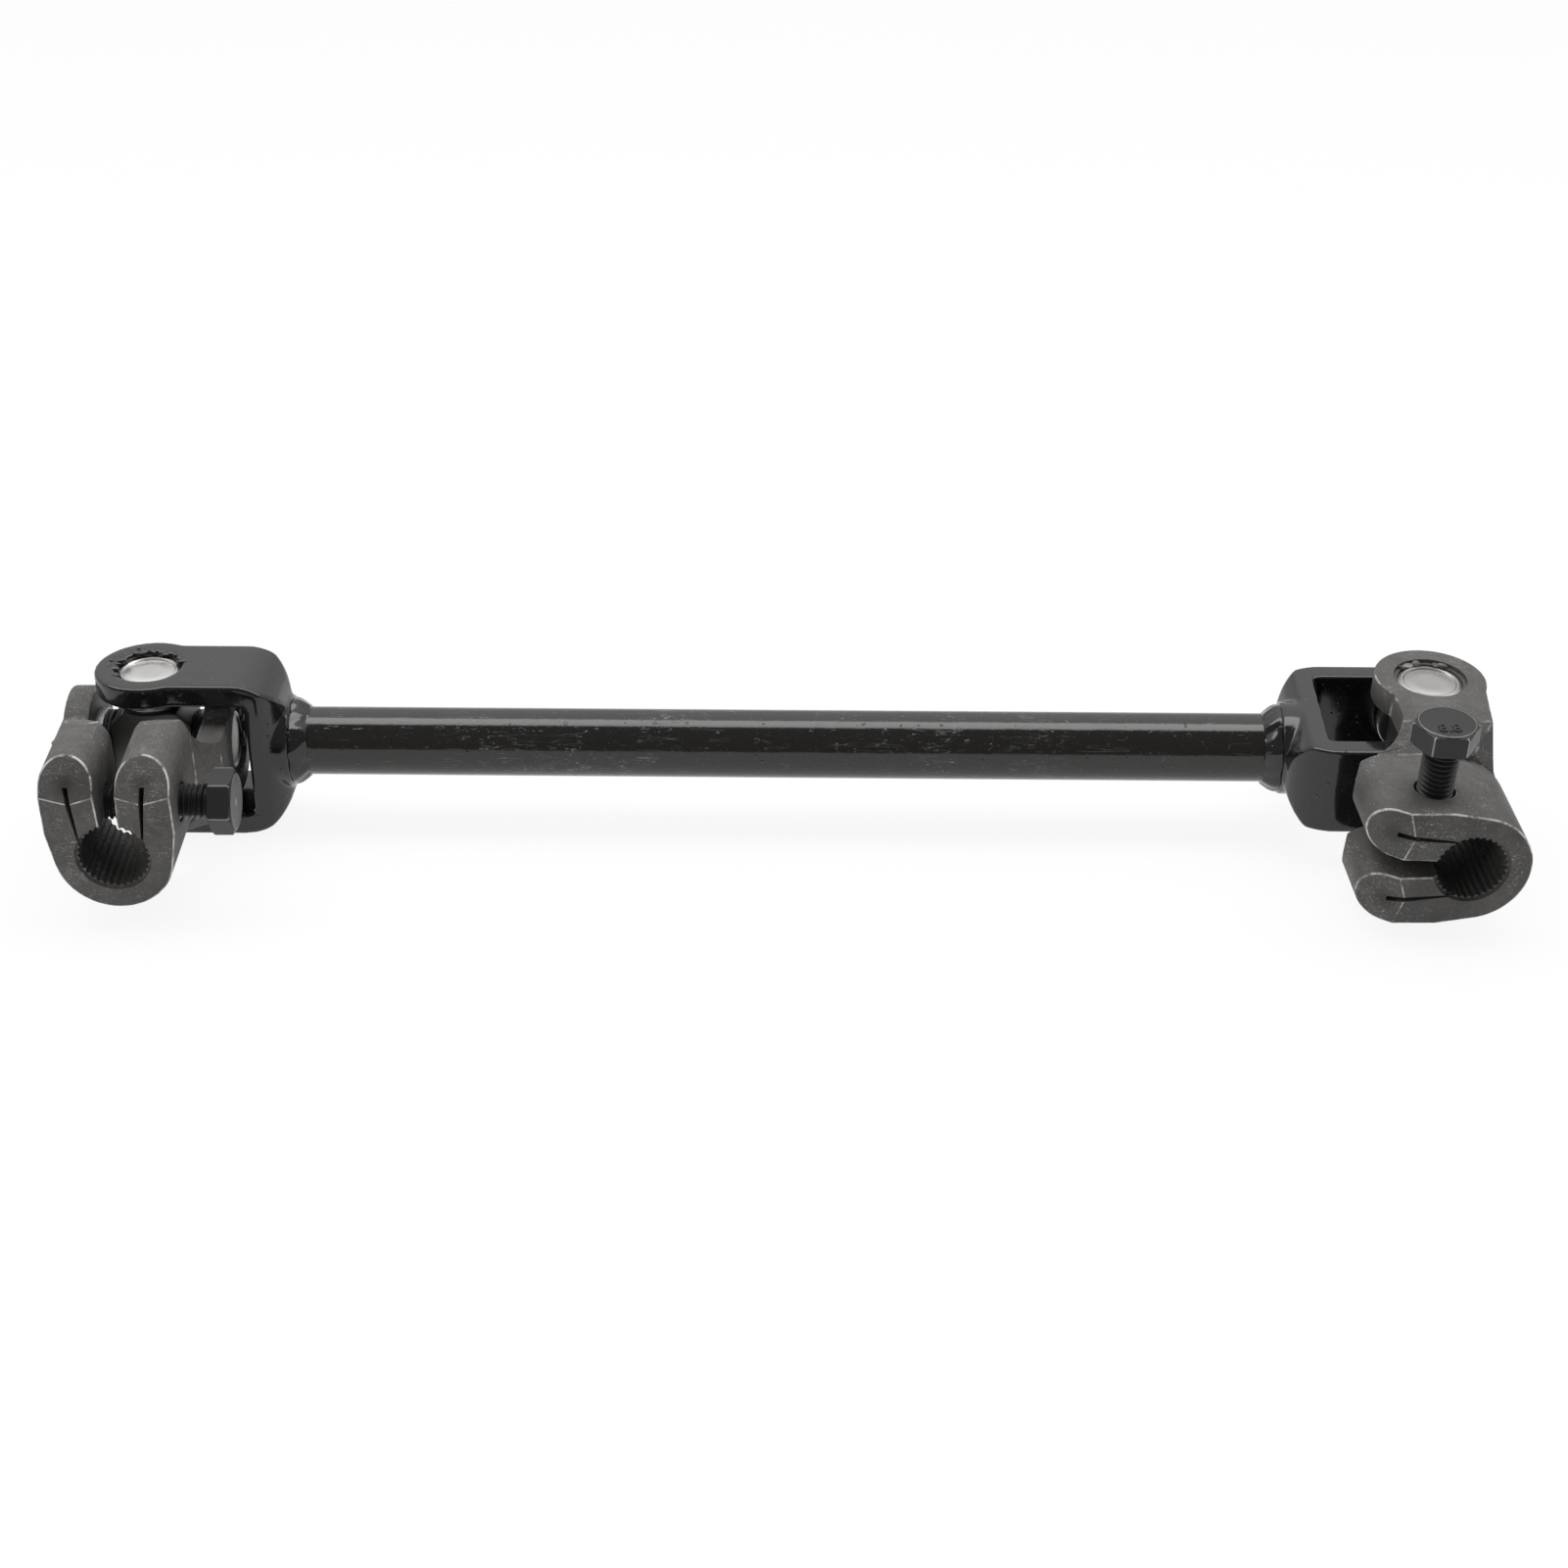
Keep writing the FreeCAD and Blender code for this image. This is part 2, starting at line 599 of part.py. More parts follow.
def flank(side):
    """Flat ear with its neck, and the joggle that leads into the barrel and the lug."""
    inner = "ear_gap/2"
    outer = "(ear_gap/2 + sheet)"
    ear = rod("Ear_disc_" + side, "2*ear_radius", "2*ear_gap", where(turn=about("y", "90")))
    neck = prism("Neck_" + side, SIDE, [
        ("0", "-0.97*ear_radius"),
        ("joggle_start", "-waist_lower"),
        ("joggle_end", "-waist_lower"),
        ("joggle_end", "fold_height"),
        (SWEEP_START, "fold_height"),
        (SWEEP_START, "waist_upper"),
        ("0.6*ear_radius", "waist_upper"),
        ("0", "0.97*ear_radius"),
    ], "-2*ear_gap", "2*ear_gap")
    band = prism("Flank_band_" + side, PLAN, [
        (outer, "-1.1*ear_radius"),
        (outer, "joggle_start"),
        (LUG, "joggle_end"),
        (LUG + " - sheet", "joggle_end"),
        (inner, "joggle_start"),
        (inner, "-1.1*ear_radius"),
    ], "-2*fold_height", "4*fold_height")
    whole = common("Flank_flat_" + side, fuse("Flank_side_" + side, ear, neck), band)
    angle = "(wrap_angle*1deg)"
    trim = prism("Flank_trim_" + side, about("y", "90 + wrap_angle") + "*" + SIDE, [
        ("joggle_start", f"{outer}*cos{angle} + waist_lower*sin{angle}"),
        ("joggle_end", "barrel_dia/2"),
        ("2*joggle_end", "barrel_dia/2"),
        ("2*joggle_end", "3*barrel_dia"),
        ("joggle_start", "3*barrel_dia"),
    ], "-2*barrel_dia", "4*barrel_dia")
    return cut("Flank_" + side, whole, trim)


def pinch_yoke(side):
    """Pinch yoke folded from one sheet: ears, necks, rolled barrel, hemmed lugs, serrated bore."""
    right = flank(side)
    blank = fuse("Pinch_blank_" + side, clamp_block(side), right, mirrored("Flank_other_" + side, right))
    top = "(fold_height + sheet)"
    facet = prism("Front_facet_" + side, SIDE, [
        ("yoke_front", "facet_height"),
        ("2*yoke_front", "facet_height"),
        ("2*yoke_front", f"2*{top}"),
        ("yoke_front - facet_depth*1.5", f"{top} + ({top} - facet_height)*0.5"),
    ], "-2*ear_gap", "4*ear_gap")
    sweep = prism("Lug_sweep_" + side, SIDE, [
        (SWEEP_START, "waist_upper"),
        (f"{SWEEP_START} + lug_sweep", "waist_upper + lug_sweep"),
        ("lug_rear", top),
        ("lug_rear", f"2*{top}"),
        (SWEEP_START, f"2*{top}"),
    ], "-2*ear_gap", "4*ear_gap", {0: (SWEEP_START, "waist_upper + lug_sweep", True)})
    mouth = add("Part::Cone", "Bore_lead_" + side, Radius1="serration_root/2", Radius2="bore_lead/2",
                Height="bore_lead_depth", Placement=where("0", "bore_lead_depth - yoke_front", "0", FRONT))
    bearings = rod("Cup_bore_" + side, "cup_dia", "4*ear_gap", where("-2*ear_gap", turn=about("y", "90")))
    clear = rod("Bolt_clear_" + side, "bolt_clear", "2*ear_gap",
                where("0", "bolt_setback - yoke_front", "bolt_height", about("y", "90")))
    tapped = rod("Bolt_tapped_" + side, "bolt_dia + 2*thread_play", "2*ear_gap",
                 where("0", "bolt_setback - yoke_front", "bolt_height", about("y", "-90")))
    tools = fuse("Pinch_tools_" + side, facet, sweep, mouth, bearings, clear, tapped)
    shaped = cut("Pinch_shaped_" + side, blank, tools)
    keep(cut("Pinch_yoke_" + side, shaped, serration_broach(side)), "pinch_yoke_" + side, PINCH[side])


def pinch_bolt(side):
    """Hexagon bolt across the lugs, under its head the distance that it stands off."""
    body = doc.addObject("PartDesign::Body", "Bolt_" + side)
    sketch = body_sketch(body, "Bolt_head_section_" + side, "XY_Plane")
    corner = "head_flats/2/cos(30deg)"
    outline(sketch, [(f"{corner}*cos({60 * step}deg)", f"{corner}*sin({60 * step}deg)") for step in range(6)])
    head = body.newObject("PartDesign::Pad", "Bolt_head_" + side)
    head.Profile = sketch
    bind(head, Length="head_height")
    shank = body.newObject("PartDesign::Pad", "Bolt_shank_" + side)
    shank.Profile = circle(body_sketch(body, "Bolt_shank_section_" + side, "XY_Plane"), "bolt_dia")
    shank.Reversed = True
    bind(shank, Length="bolt_length")
    out = f"{LUG} + {side}_bolt_out"
    seat = where(out, "bolt_setback - yoke_front", "bolt_height", about("y", "90"))
    keep(body, "pinch_bolt_" + side, PINCH[side] + "*" + seat)


# Assembly
shaft_bar()
weld_beads()
strap_bearings()
for side in ("left", "right"):
    strap_yoke(side)
    cross(side)
    pinch_yoke(side)
    pinch_bearings(side)
    pinch_bolt(side)

doc.recompute()

for item in doc.Objects:
    if "Invalid" in item.State or "Error" in item.State:
        raise RuntimeError(f"{item.Name} failed: {item.State}")
for item in PARTS:
    if item.Shape.isNull() or not item.Shape.isValid():
        raise RuntimeError(f"{item.Label} has no valid shape")

os.makedirs("parts", exist_ok=True)
for item in PARTS:
    item.Shape.exportStep(f"parts/{item.Label}.step")
    print(f"{item.Label}: {len(item.Shape.Solids)} solid, {item.Shape.Volume:.0f} mm3")
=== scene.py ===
# %% [markdown]
# The part is a steering intermediate shaft: a painted bar with a universal joint at each end. Its packed
# solids come in as a fixed frame, in metres, and everything here is made around them. This first step
# loads them and reads from the record where the joints and the two serrated bores are.

import json
import math

import bmesh
import bpy
from mathutils import Matrix, Vector


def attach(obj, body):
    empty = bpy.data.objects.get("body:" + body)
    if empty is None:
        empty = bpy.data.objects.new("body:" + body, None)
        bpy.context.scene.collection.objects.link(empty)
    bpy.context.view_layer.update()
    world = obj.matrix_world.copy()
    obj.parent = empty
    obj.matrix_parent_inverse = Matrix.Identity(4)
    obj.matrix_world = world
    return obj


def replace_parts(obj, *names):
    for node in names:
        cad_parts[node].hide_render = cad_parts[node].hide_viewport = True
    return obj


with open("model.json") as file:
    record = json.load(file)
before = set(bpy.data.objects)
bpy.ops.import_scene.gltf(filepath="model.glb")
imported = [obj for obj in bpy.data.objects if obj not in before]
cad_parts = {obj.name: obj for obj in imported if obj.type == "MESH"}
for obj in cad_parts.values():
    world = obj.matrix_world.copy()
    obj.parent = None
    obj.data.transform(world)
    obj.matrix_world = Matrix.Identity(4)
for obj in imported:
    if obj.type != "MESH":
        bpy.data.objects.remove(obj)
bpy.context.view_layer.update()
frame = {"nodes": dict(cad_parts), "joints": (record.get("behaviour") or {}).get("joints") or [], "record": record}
record = frame["record"]
MM = 0.001
print("nodes:", len(frame["nodes"]))


# %% [markdown]
# Every detail is easier to place in the frame of the yoke that carries it. A strap yoke's frame has X
# towards the middle of the bar and Z along the holes in its ears. A pinch yoke's frame has X along its own
# ear holes, the bore along -Y and the clamp lugs on its +Z side. Both come from the record's joints and
# mounts, so nothing is measured by eye.

# %% Frames of the yokes
joints = {joint["name"]: joint for joint in frame["joints"]}
bores = {mount["name"]: mount for mount in record["mounts"]}
SIDES = ("left", "right")


def frame_at(origin, x_axis, y_axis):
    """A matrix with its X and Y axes along the given directions."""
    x = Vector(x_axis).normalized()
    z = x.cross(Vector(y_axis)).normalized()
    y = z.cross(x)
    matrix = Matrix((x, y, z)).transposed().to_4x4()
    matrix.translation = Vector(origin)
    return matrix


centre = {side: Vector(joints[f"{side}_cross_in_strap_yoke"]["pos_m"]) for side in SIDES}
middle = (centre["left"] + centre["right"]) / 2
strap = {}
pinch = {}
for side in SIDES:
    hinge = Vector(joints[f"{side}_cross_in_strap_yoke"]["axis"])
    inward = (middle - centre[side]).normalized()
    strap[side] = frame_at(centre[side], inward, hinge.cross(inward))
    ears = joints[f"{side}_pinch_yoke_on_cross"]["axis"]
    pinch[side] = frame_at(centre[side], ears, -Vector(bores[f"{side}_bore"]["axis"]))
    print(side, "joint centre, mm:", [round(value / MM, 2) for value in centre[side]])


def node_corners(node, matrix):
    """Lowest and highest corner of a CAD node in a yoke's frame."""
    inverse = matrix.inverted()
    points = [inverse @ vertex.co for vertex in frame["nodes"][node].data.vertices]
    return [Vector([pick(point[axis] for point in points) for axis in range(3)]) for pick in (min, max)]


# %% [markdown]
# Materials are node trees. Long chains of Math nodes are hard to read, so a small class wraps a socket and
# lets shader maths be written as a Python expression: each operator adds the Math node that it stands for.

# %% Shader maths
class Value:
    """A socket of a node tree in an expression of numbers."""

    def __init__(self, tree, socket):
        self.tree = tree
        self.socket = socket

    def math(self, operation, *values):
        return self.tree.add("ShaderNodeMath", {"operation": operation}, dict(enumerate((self, *values))))[0]

    def __add__(self, other):
        return self.math("ADD", other)

    __radd__ = __add__

    def __sub__(self, other):
        return self.math("SUBTRACT", other)

    def __rsub__(self, other):
        return (self * -1.0) + other

    def __mul__(self, other):
        return self.math("MULTIPLY", other)

    __rmul__ = __mul__

    def __truediv__(self, other):
        return self.math("DIVIDE", other)

    def clamped(self):
        return self.math("MINIMUM", 1.0).math("MAXIMUM", 0.0)

    def ramp(self, low, high):
        """0 up to low, 1 from high on, straight between them."""
        return ((self - low) / (high - low)).clamped()


class Tree:
    """A node tree whose nodes are all added by one method."""

    def __init__(self, tree):
        self.tree = tree

    def add(self, kind, settings=None, inputs=None):
        """Add a node: settings first, then the values or links of its inputs. Returns its outputs."""
        node = self.tree.nodes.new(kind)
        for name, value in (settings or {}).items():
            setattr(node, name, value)
        for key, value in (inputs or {}).items():
            self.feed(node.inputs[key], value)
        return [Value(self, socket) for socket in node.outputs if socket.enabled]

    def feed(self, socket, value):
        if isinstance(value, Value):
            self.tree.links.new(value.socket, socket)
        else:
            socket.default_value = value


print("classes for node trees:", Value.__name__, "and", Tree.__name__)


# %% [markdown]
# A finish is a material with one Principled shader. Its constant values are set on the shader's own
# sockets, and what varies over the surface comes from noise on the Object coordinates, which are the same
# for every piece because all of them share the part's frame.

# %% Finishes
class Finish(Tree):
    """A material with a Principled shader."""

    def __init__(self, name, **constants):
        self.material = bpy.data.materials.new(name)
        self.material.use_nodes = True
        super().__init__(self.material.node_tree)
        self.shader = self.tree.nodes["Principled BSDF"]
        for socket, value in constants.items():
            self.shader.inputs[socket.replace("_", " ")].default_value = value
        self.place = self.add("ShaderNodeTexCoord")[3]

    def noise(self, scale, detail=3.0, stretch=(1, 1, 1), turn=(0, 0, 0), shift=(0, 0, 0), roughness=0.55):
        """Noise from 0 to 1, its scale in features per metre."""
        place = self.add("ShaderNodeMapping", None,
                         {"Vector": self.place, "Scale": stretch, "Rotation": turn, "Location": shift})[0]
        return self.add("ShaderNodeTexNoise", None,
                        {"Vector": place, "Scale": scale, "Detail": detail, "Roughness": roughness})[0]

    def axis(self, index):
        """One Object coordinate, in metres."""
        return self.add("ShaderNodeSeparateXYZ", None, {0: self.place})[index]

    def near(self, point, reach):
        """1 at a point, falling to 0 at the given reach."""
        away = self.add("ShaderNodeVectorMath", {"operation": "DISTANCE"}, {0: self.place, 1: point})[-1]
        return 1 - away.ramp(0.0, reach)

    def colours(self, factor, first, second):
        """Mix two colours."""
        mix = self.tree.nodes.new("ShaderNodeMix")
        mix.data_type = "RGBA"
        self.feed(mix.inputs[0], factor)
        self.feed(mix.inputs[6], first)
        self.feed(mix.inputs[7], second)
        return Value(self, mix.outputs[2])

    def bumps(self, height, distance):
        """Relief of the given depth in metres."""
        self.set("Normal", self.add("ShaderNodeBump", None,
                                    {"Height": height, "Distance": distance, "Strength": 1.0})[0])

    def set(self, socket, value):
        self.feed(self.shader.inputs[socket], value)


def grey(level, warm=0.0):
    """A grey, a little warm where warm is over 0."""
    return (level * (1 + warm), level, level * (1 - warm), 1)


print("a warm mid grey:", grey(0.18, 0.05))


# %% [markdown]
# The bar, both strap yokes and the welds are painted gloss black in one go. Wet-looking paint has orange
# peel, so a straight reflection comes back with a wavy edge. The bar has been handled: short pale scratches
# lie at all angles in two stretches of it. A scratch is where a stretched noise crosses its middle value,
# and a second noise breaks the line up, so no two are alike.

# %% Gloss black paint
def scratches(finish, scale, width, turn, stretch=(1, 9, 9), shift=(0, 0, 0)):
    """Thin broken strokes along X, turned by the given angles."""
    lines = finish.noise(scale, 1.0, stretch, turn, shift)
    breaks = finish.noise(scale * 2.5, 2.0, shift=shift).ramp(0.54, 0.6)
    return (1 - ((lines - 0.5).math("ABSOLUTE") / width).clamped()) * breaks


def black_paint(name, scuffed):
    """Gloss black paint over steel, with scuffs where it has been handled."""
    finish = Finish(name, Specular_IOR_Level=0.55)
    peel = finish.noise(900.0, 2.0)
    waves = finish.noise(330.0, 1.0)
    lumps = finish.noise(120.0, 1.0)
    specks = finish.noise(2400.0, 1.0, shift=(3, 1, 2)).ramp(0.7, 0.74)
    pimples = finish.noise(620.0, 0.0, shift=(4, 4, 1)).ramp(0.77, 0.82)
    marks = specks * 0.25
    tint = grey(0.009)
    if scuffed:
        x = finish.axis(0)
        handled = 0
        for low, high in ((-0.080, -0.012), (0.022, 0.070)):
            handled = (x - low).ramp(0.0, 0.015) * (1 - (x - high).ramp(-0.012, 0.0)) + handled
        cloud = finish.noise(90.0, 2.0, shift=(5, 2, 1)).ramp(0.45, 0.58)
        strokes = scratches(finish, 130.0, 0.02, (0.2, 0, 0.6), shift=(0, 1, 0))
        strokes = strokes + scratches(finish, 150.0, 0.02, (0.9, 0, -0.8), shift=(1, 0, 0))
        strokes = strokes + scratches(finish, 110.0, 0.016, (0, 0.1, 0.12), shift=(0, 0, 1))
        rub = finish.noise(1400.0, 3.0, stretch=(0.5, 1, 1)).ramp(0.56, 0.7)
        rubbed = finish.noise(140.0, 1.0, shift=(9, 2, 4)).ramp(0.63, 0.72)
        few = scratches(finish, 60.0, 0.008, (0.3, 0, 0.3), shift=(2, 2, 2))
        handling = cloud * strokes * 0.9 + rubbed * rub * 0.7
        marks = (marks + handled * handling + few * 0.5).clamped()
        tint = finish.colours(finish.noise(14.0, 1.0), grey(0.009), grey(0.010, 0.25))
    finish.set("Base Color", finish.colours(marks, tint, grey(0.17)))
    finish.set("Roughness", marks * 0.35 + lumps * 0.05 + 0.09)
    finish.bumps(peel * 0.3 + waves + lumps * 2.0 + pimples * 3.0 - marks * 0.6, 0.00003)
    return finish.material


paint = black_paint("Gloss black paint", False)
bar_paint = black_paint("Scuffed black paint", True)
print("paints:", paint.name, "and", bar_paint.name)


# %% [markdown]
# The pinch yokes are formed steel with a dark warm-grey coating. It is blotchy and matt, with fine scale and
# pale scuffs where the pieces have knocked together. The mouth of a yoke is handled most, so the edges there
# are rubbed bright. The yokes get two finishes: one for the faces and one for the narrow bands along the
# edges. Bending the sheet back on itself leaves a hollow at the closed end of each hem, and the shade in that
# hollow is painted into the colour as a dark patch.

# %% Dark coated steel
MOUTH = min(bores[f"{side}_bore"]["pos_m"][1] for side in SIDES)
FOLD_HEIGHT = 17.5 * MM
FOLD_OUT = 8.4 * MM
YOKE_FRONT = 49.5 * MM


def coated_steel(name, edge):
    """Dark grey coating, rubbed through along the edges, with painted shade at the closed end of each hem."""
    finish = Finish(name, Specular_IOR_Level=0.4)
    blotches = finish.noise(110.0, 6.0, roughness=0.65)
    scale = finish.noise(900.0, 4.0, shift=(1, 2, 3), roughness=0.7)
    specks = finish.noise(2600.0, 2.0, shift=(7, 3, 5)).ramp(0.62, 0.72)
    scuffed = finish.noise(70.0, 2.0, shift=(2, 5, 2)).ramp(0.5, 0.65)
    rubs = scratches(finish, 150.0, 0.03, (0.3, 0.2, 0.7)) + scratches(finish, 120.0, 0.02, (1.2, 0.4, -0.5))
    knocks = (specks * (0.2 + scuffed * 0.6) + rubs * scuffed * 0.4).clamped()
    coat = finish.colours(blotches.ramp(0.3, 0.7), grey(0.048, 0.05), grey(0.098, 0.04))
    coat = finish.colours(scale.ramp(0.35, 0.75) * 0.55, coat, grey(0.045, 0.04))
    if edge:
        front = 1 - (finish.axis(1) - (MOUTH - 8 * MM)).ramp(0.0, 6 * MM)
        patchy = finish.noise(260.0, 4.0, shift=(2, 8, 1), roughness=0.7)
        strong = finish.noise(90.0, 2.0, shift=(6, 1, 4)).ramp(0.3, 0.7)
        worn = ((patchy + front * 0.12 - 0.5) * 6.0).clamped()
        bare = (worn * (front * 0.4 + 0.3 + strong * 0.45) + knocks * 0.3).clamped()
    else:
        bare = knocks
    # Painted shade: a dark patch is painted into the colour at the closed end of each hem, where the hollow lies
    # in shade.
    hem_hollow_painted_shade = 0
    for side in SIDES:
        for sign in (1, -1):
            closed = pinch[side] @ Vector((FOLD_OUT * sign, -YOKE_FRONT + 2.0 * MM, FOLD_HEIGHT))
            hem_hollow_painted_shade = finish.near(tuple(closed), 3.4 * MM) + hem_hollow_painted_shade
    hem_hollow_painted_shade = (hem_hollow_painted_shade * 1.3).clamped()
    finish.set("Base Color", finish.colours(hem_hollow_painted_shade * 0.7, finish.colours(bare, coat, grey(0.5, 0.02)),
                                            grey(0.02, 0.05)))
    finish.set("Roughness", scale * 0.25 + 0.45 - bare * 0.1)
    finish.bumps(scale * 0.9 + blotches * 1.5 - knocks - hem_hollow_painted_shade * 3.0, 0.00007)
    return finish.material


coated = coated_steel("Dark coated steel", False)
coated_edge = coated_steel("Rubbed edge of coated steel", True)
print("yoke finishes:", coated.name, "and", coated_edge.name)


# %% [markdown]
# The bearing caps are bright drawn steel, a little tarnished on the pinch yokes. The crosses are plain ground
# steel, the seals are dull rubber, and the bolts have a blue-black coating that is rubbed through at the
# corners of the heads. Plain steel needs little more than its grey, its gloss and a slight cloud in both.

# %% Bearing steel, rubber and bolt coating
def plain_steel(name, level, roughness, metallic=1.0, specular=0.5):
    """Bare steel with a slightly uneven gloss."""
    finish = Finish(name, Metallic=metallic, Specular_IOR_Level=specular)
    cloud = finish.noise(300.0, 4.0)
    fine = finish.noise(2500.0, 2.0)
    finish.set("Base Color", finish.colours(cloud, grey(level * 0.85, 0.02), grey(level, 0.02)))
    finish.set("Roughness", cloud * 0.15 + roughness)
    finish.bumps(fine, 0.00001)
    return finish.material


cap_steel = plain_steel("Bearing cap steel", 0.55, 0.3)
worn_cap_steel = plain_steel("Tarnished bearing cap steel", 0.36, 0.34)
cross_steel = plain_steel("Cross steel", 0.2, 0.35)
bolt_coat = plain_steel("Blue-black bolt coating", 0.024, 0.34, 0.3, 0.35)
bolt_edge = plain_steel("Rubbed bolt edge", 0.22, 0.35, 0.5)
rubber_finish = Finish("Seal rubber", Roughness=0.55)
rubber_finish.set("Base Color", rubber_finish.colours(rubber_finish.noise(500.0), grey(0.012), grey(0.03)))
rubber = rubber_finish.material
print("materials:", len(bpy.data.materials))


# %% [markdown]
# The yokes and crosses keep the shapes of their solids, so each starts as a copy of its node's mesh. The
# copy's corners are merged and its flat faces are joined again, because a solid is exported as loose
# triangles.

# %% Copies of a node
def merged_copy(node):
    """The node's mesh as a bmesh with shared vertices and whole flat faces."""
    mesh = bmesh.new()
    mesh.from_mesh(frame["nodes"][node].data)
    bmesh.ops.remove_doubles(mesh, verts=mesh.verts, dist=2e-6)
    bmesh.ops.dissolve_limit(mesh, angle_limit=math.radians(0.3), verts=mesh.verts, edges=mesh.edges)
    return mesh


def new_piece(name, mesh, materials):
    """An object at the origin with a bmesh's mesh and the materials."""
    data = bpy.data.meshes.new(name)
    mesh.to_mesh(data)
    mesh.free()
    for material in materials:
        data.materials.append(material)
    piece = bpy.data.objects.new(name, data)
    bpy.context.scene.collection.objects.link(piece)
    return piece


def bake(piece):
    """Turn what the modifiers make into the piece's own mesh."""
    bpy.context.view_layer.update()
    evaluated = piece.evaluated_get(bpy.context.evaluated_depsgraph_get())
    result = bpy.data.meshes.new_from_object(evaluated)
    piece.modifiers.clear()
    piece.data = result


def smooth(piece, angle):
    """Smooth shading, with edges sharper than the angle kept crisp."""
    mesh = bmesh.new()
    mesh.from_mesh(piece.data)
    for face in mesh.faces:
        face.smooth = True
    for edge in mesh.edges:
        edge.smooth = len(edge.link_faces) == 2 and edge.calc_face_angle(0) < math.radians(angle)
    mesh.to_mesh(piece.data)
    mesh.free()


# %% [markdown]
# A CAD solid has knife-sharp edges, and a real forged or bent one has soft ones that catch the light. A
# Bevel modifier rounds the chosen edges. The narrow faces that it makes can have a material of their own,
# which is where the wear goes. A second Bevel with a hollow profile cuts the step round the ear holes that
# the caps are staked against.

# %% Rounded edges
def bevel(piece, attribute, width, segments, material, profile):
    """A Bevel modifier on the edges that an attribute weighs."""
    modifier = piece.modifiers.new("Bevel by " + attribute, "BEVEL")
    modifier.limit_method = "WEIGHT"
    modifier.edge_weight = attribute
    modifier.width = width
    modifier.segments = segments
    modifier.material = material
    modifier.profile = profile
    modifier.use_clamp_overlap = False


def rounded_copy(node, name, width, materials, chosen, body, segments=3, sharp=28, rim=None, shape=None):
    """A copy of the node with its chosen sharp edges rounded; materials are for faces and edges."""
    mesh = merged_copy(node)
    if shape:
        shape(mesh)
    weight = mesh.edges.layers.float.new("round_weight")
    step_weight = mesh.edges.layers.float.new("step_weight")
    picked = 0
    for edge in mesh.edges:
        if len(edge.link_faces) == 2 and edge.calc_face_angle(0) > math.radians(sharp):
            if rim and rim(edge):
                edge[step_weight] = 1.0
                continue
            edge[weight] = chosen(edge)
            picked += edge[weight] > 0
    piece = new_piece(name, mesh, materials)
    if rim:
        bevel(piece, "step_weight", 0.85 * MM, 2, 0, 0.0)
    bevel(piece, "round_weight", width, segments, len(materials) - 1, 0.5)
    bake(piece)
    smooth(piece, 32)
    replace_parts(piece, node)
    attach(piece, body)
    print(f"{name}: {picked} edges rounded, {len(piece.data.polygons)} faces")
    return piece


# %% [markdown]
# A strap yoke has no sharp edge left under its thick paint, and its collar flows into its back. A Remesh
# modifier spreads an even mesh over the copy, and a Smooth modifier melts every edge by the same amount.

# %% Strap yokes
def melted_copy(node, name, material, body, voxel=0.34 * MM, rounds=30):
    """A copy of the node with every edge melted round, as forming and a thick coat of paint leave it."""
    piece = new_piece(name, merged_copy(node), [material])
    even = piece.modifiers.new("Even mesh", "REMESH")
    even.mode = "VOXEL"
    even.voxel_size = voxel
    melt = piece.modifiers.new("Melted edges", "SMOOTH")
    melt.factor = 0.5
    melt.iterations = rounds
    bake(piece)
    smooth(piece, 80)
    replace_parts(piece, node)
    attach(piece, body)
    print(f"{name}: {len(piece.data.polygons)} faces")
    return piece


for side in SIDES:
    melted_copy(f"strap_yoke_{side}", f"Strap_yoke_{side}", paint, "shaft")


# %% [markdown]
# A pinch yoke is folded from one sheet, and its lugs are hems: the sheet is bent back on itself with a fine
# slit between the layers. Its outer edges are rounded and rubbed, but the teeth of the bore and the slits
# stay sharp. Each slit is opened a little towards the bend, as the metal does there.

# %% Pinch yokes
BORE_CLEAR = 8.6 * MM
HEM_FOOT = 6.6 * MM
FACET_HEIGHT = 15.6 * MM


def slit_at(height):
    """How far a hem's slit is from the bore's middle plane at a height above the bore's axis."""
    return HEM_FOOT + (FOLD_OUT - HEM_FOOT) * height / FOLD_HEIGHT


for side in SIDES:
    into = pinch[side].inverted()

    def pinch_edge(edge, into=into):
        """The outer edges of a pinch yoke, not its serrations or slits."""
        point = into @ ((edge.verts[0].co + edge.verts[1].co) / 2)
        if math.hypot(point.x, point.z) < BORE_CLEAR and point.y < -26 * MM:
            return 0.0
        if abs(abs(point.x) - slit_at(point.z)) < 0.9 * MM and 0 < point.z < FOLD_HEIGHT + 0.8 * MM:
            return 0.0
        crease = edge.calc_face_angle(0) < math.radians(35) and point.y < -45 * MM
        return 0.45 if crease else 1.0

    def open_hems(mesh, into=into, out=pinch[side]):
        """Open each hem's slit towards its closed end, and dip the crease of the facet towards the slit."""
        for vertex in mesh.verts:
            point = into @ vertex.co
            off = abs(point.x) - slit_at(point.z)
            if point.y > -42 * MM or abs(off) > 0.6 * MM or not 12 * MM < point.z < FOLD_HEIGHT + 0.5 * MM:
                continue
            point.x += math.copysign(0.3 * MM, off) * math.copysign(1, point.x)
            if abs(point.z - FACET_HEIGHT) < 0.1 * MM:
                point.z -= 1.7 * MM
                point.x -= math.copysign(0.2 * MM, point.x)
            vertex.co = out @ point

    def ear_rim(edge, into=into):
        """The outer rims of the holes in the ears."""
        points = [into @ vertex.co for vertex in edge.verts]
        return all(math.hypot(point.y, point.z) < 7.7 * MM and abs(point.x) > 16 * MM for point in points)

    rounded_copy(f"pinch_yoke_{side}", f"Pinch_yoke_{side}", 0.34 * MM, [coated, coated_edge], pinch_edge,
                 f"{side}_pinch_yoke", segments=2, sharp=11, rim=ear_rim, shape=open_hems)


# %% [markdown]
# Turned pieces are a profile spun about an axis. The profile is a list of radius and height, and every
# ring of vertices is joined to the next, so the shape is closed and its faces point outwards.

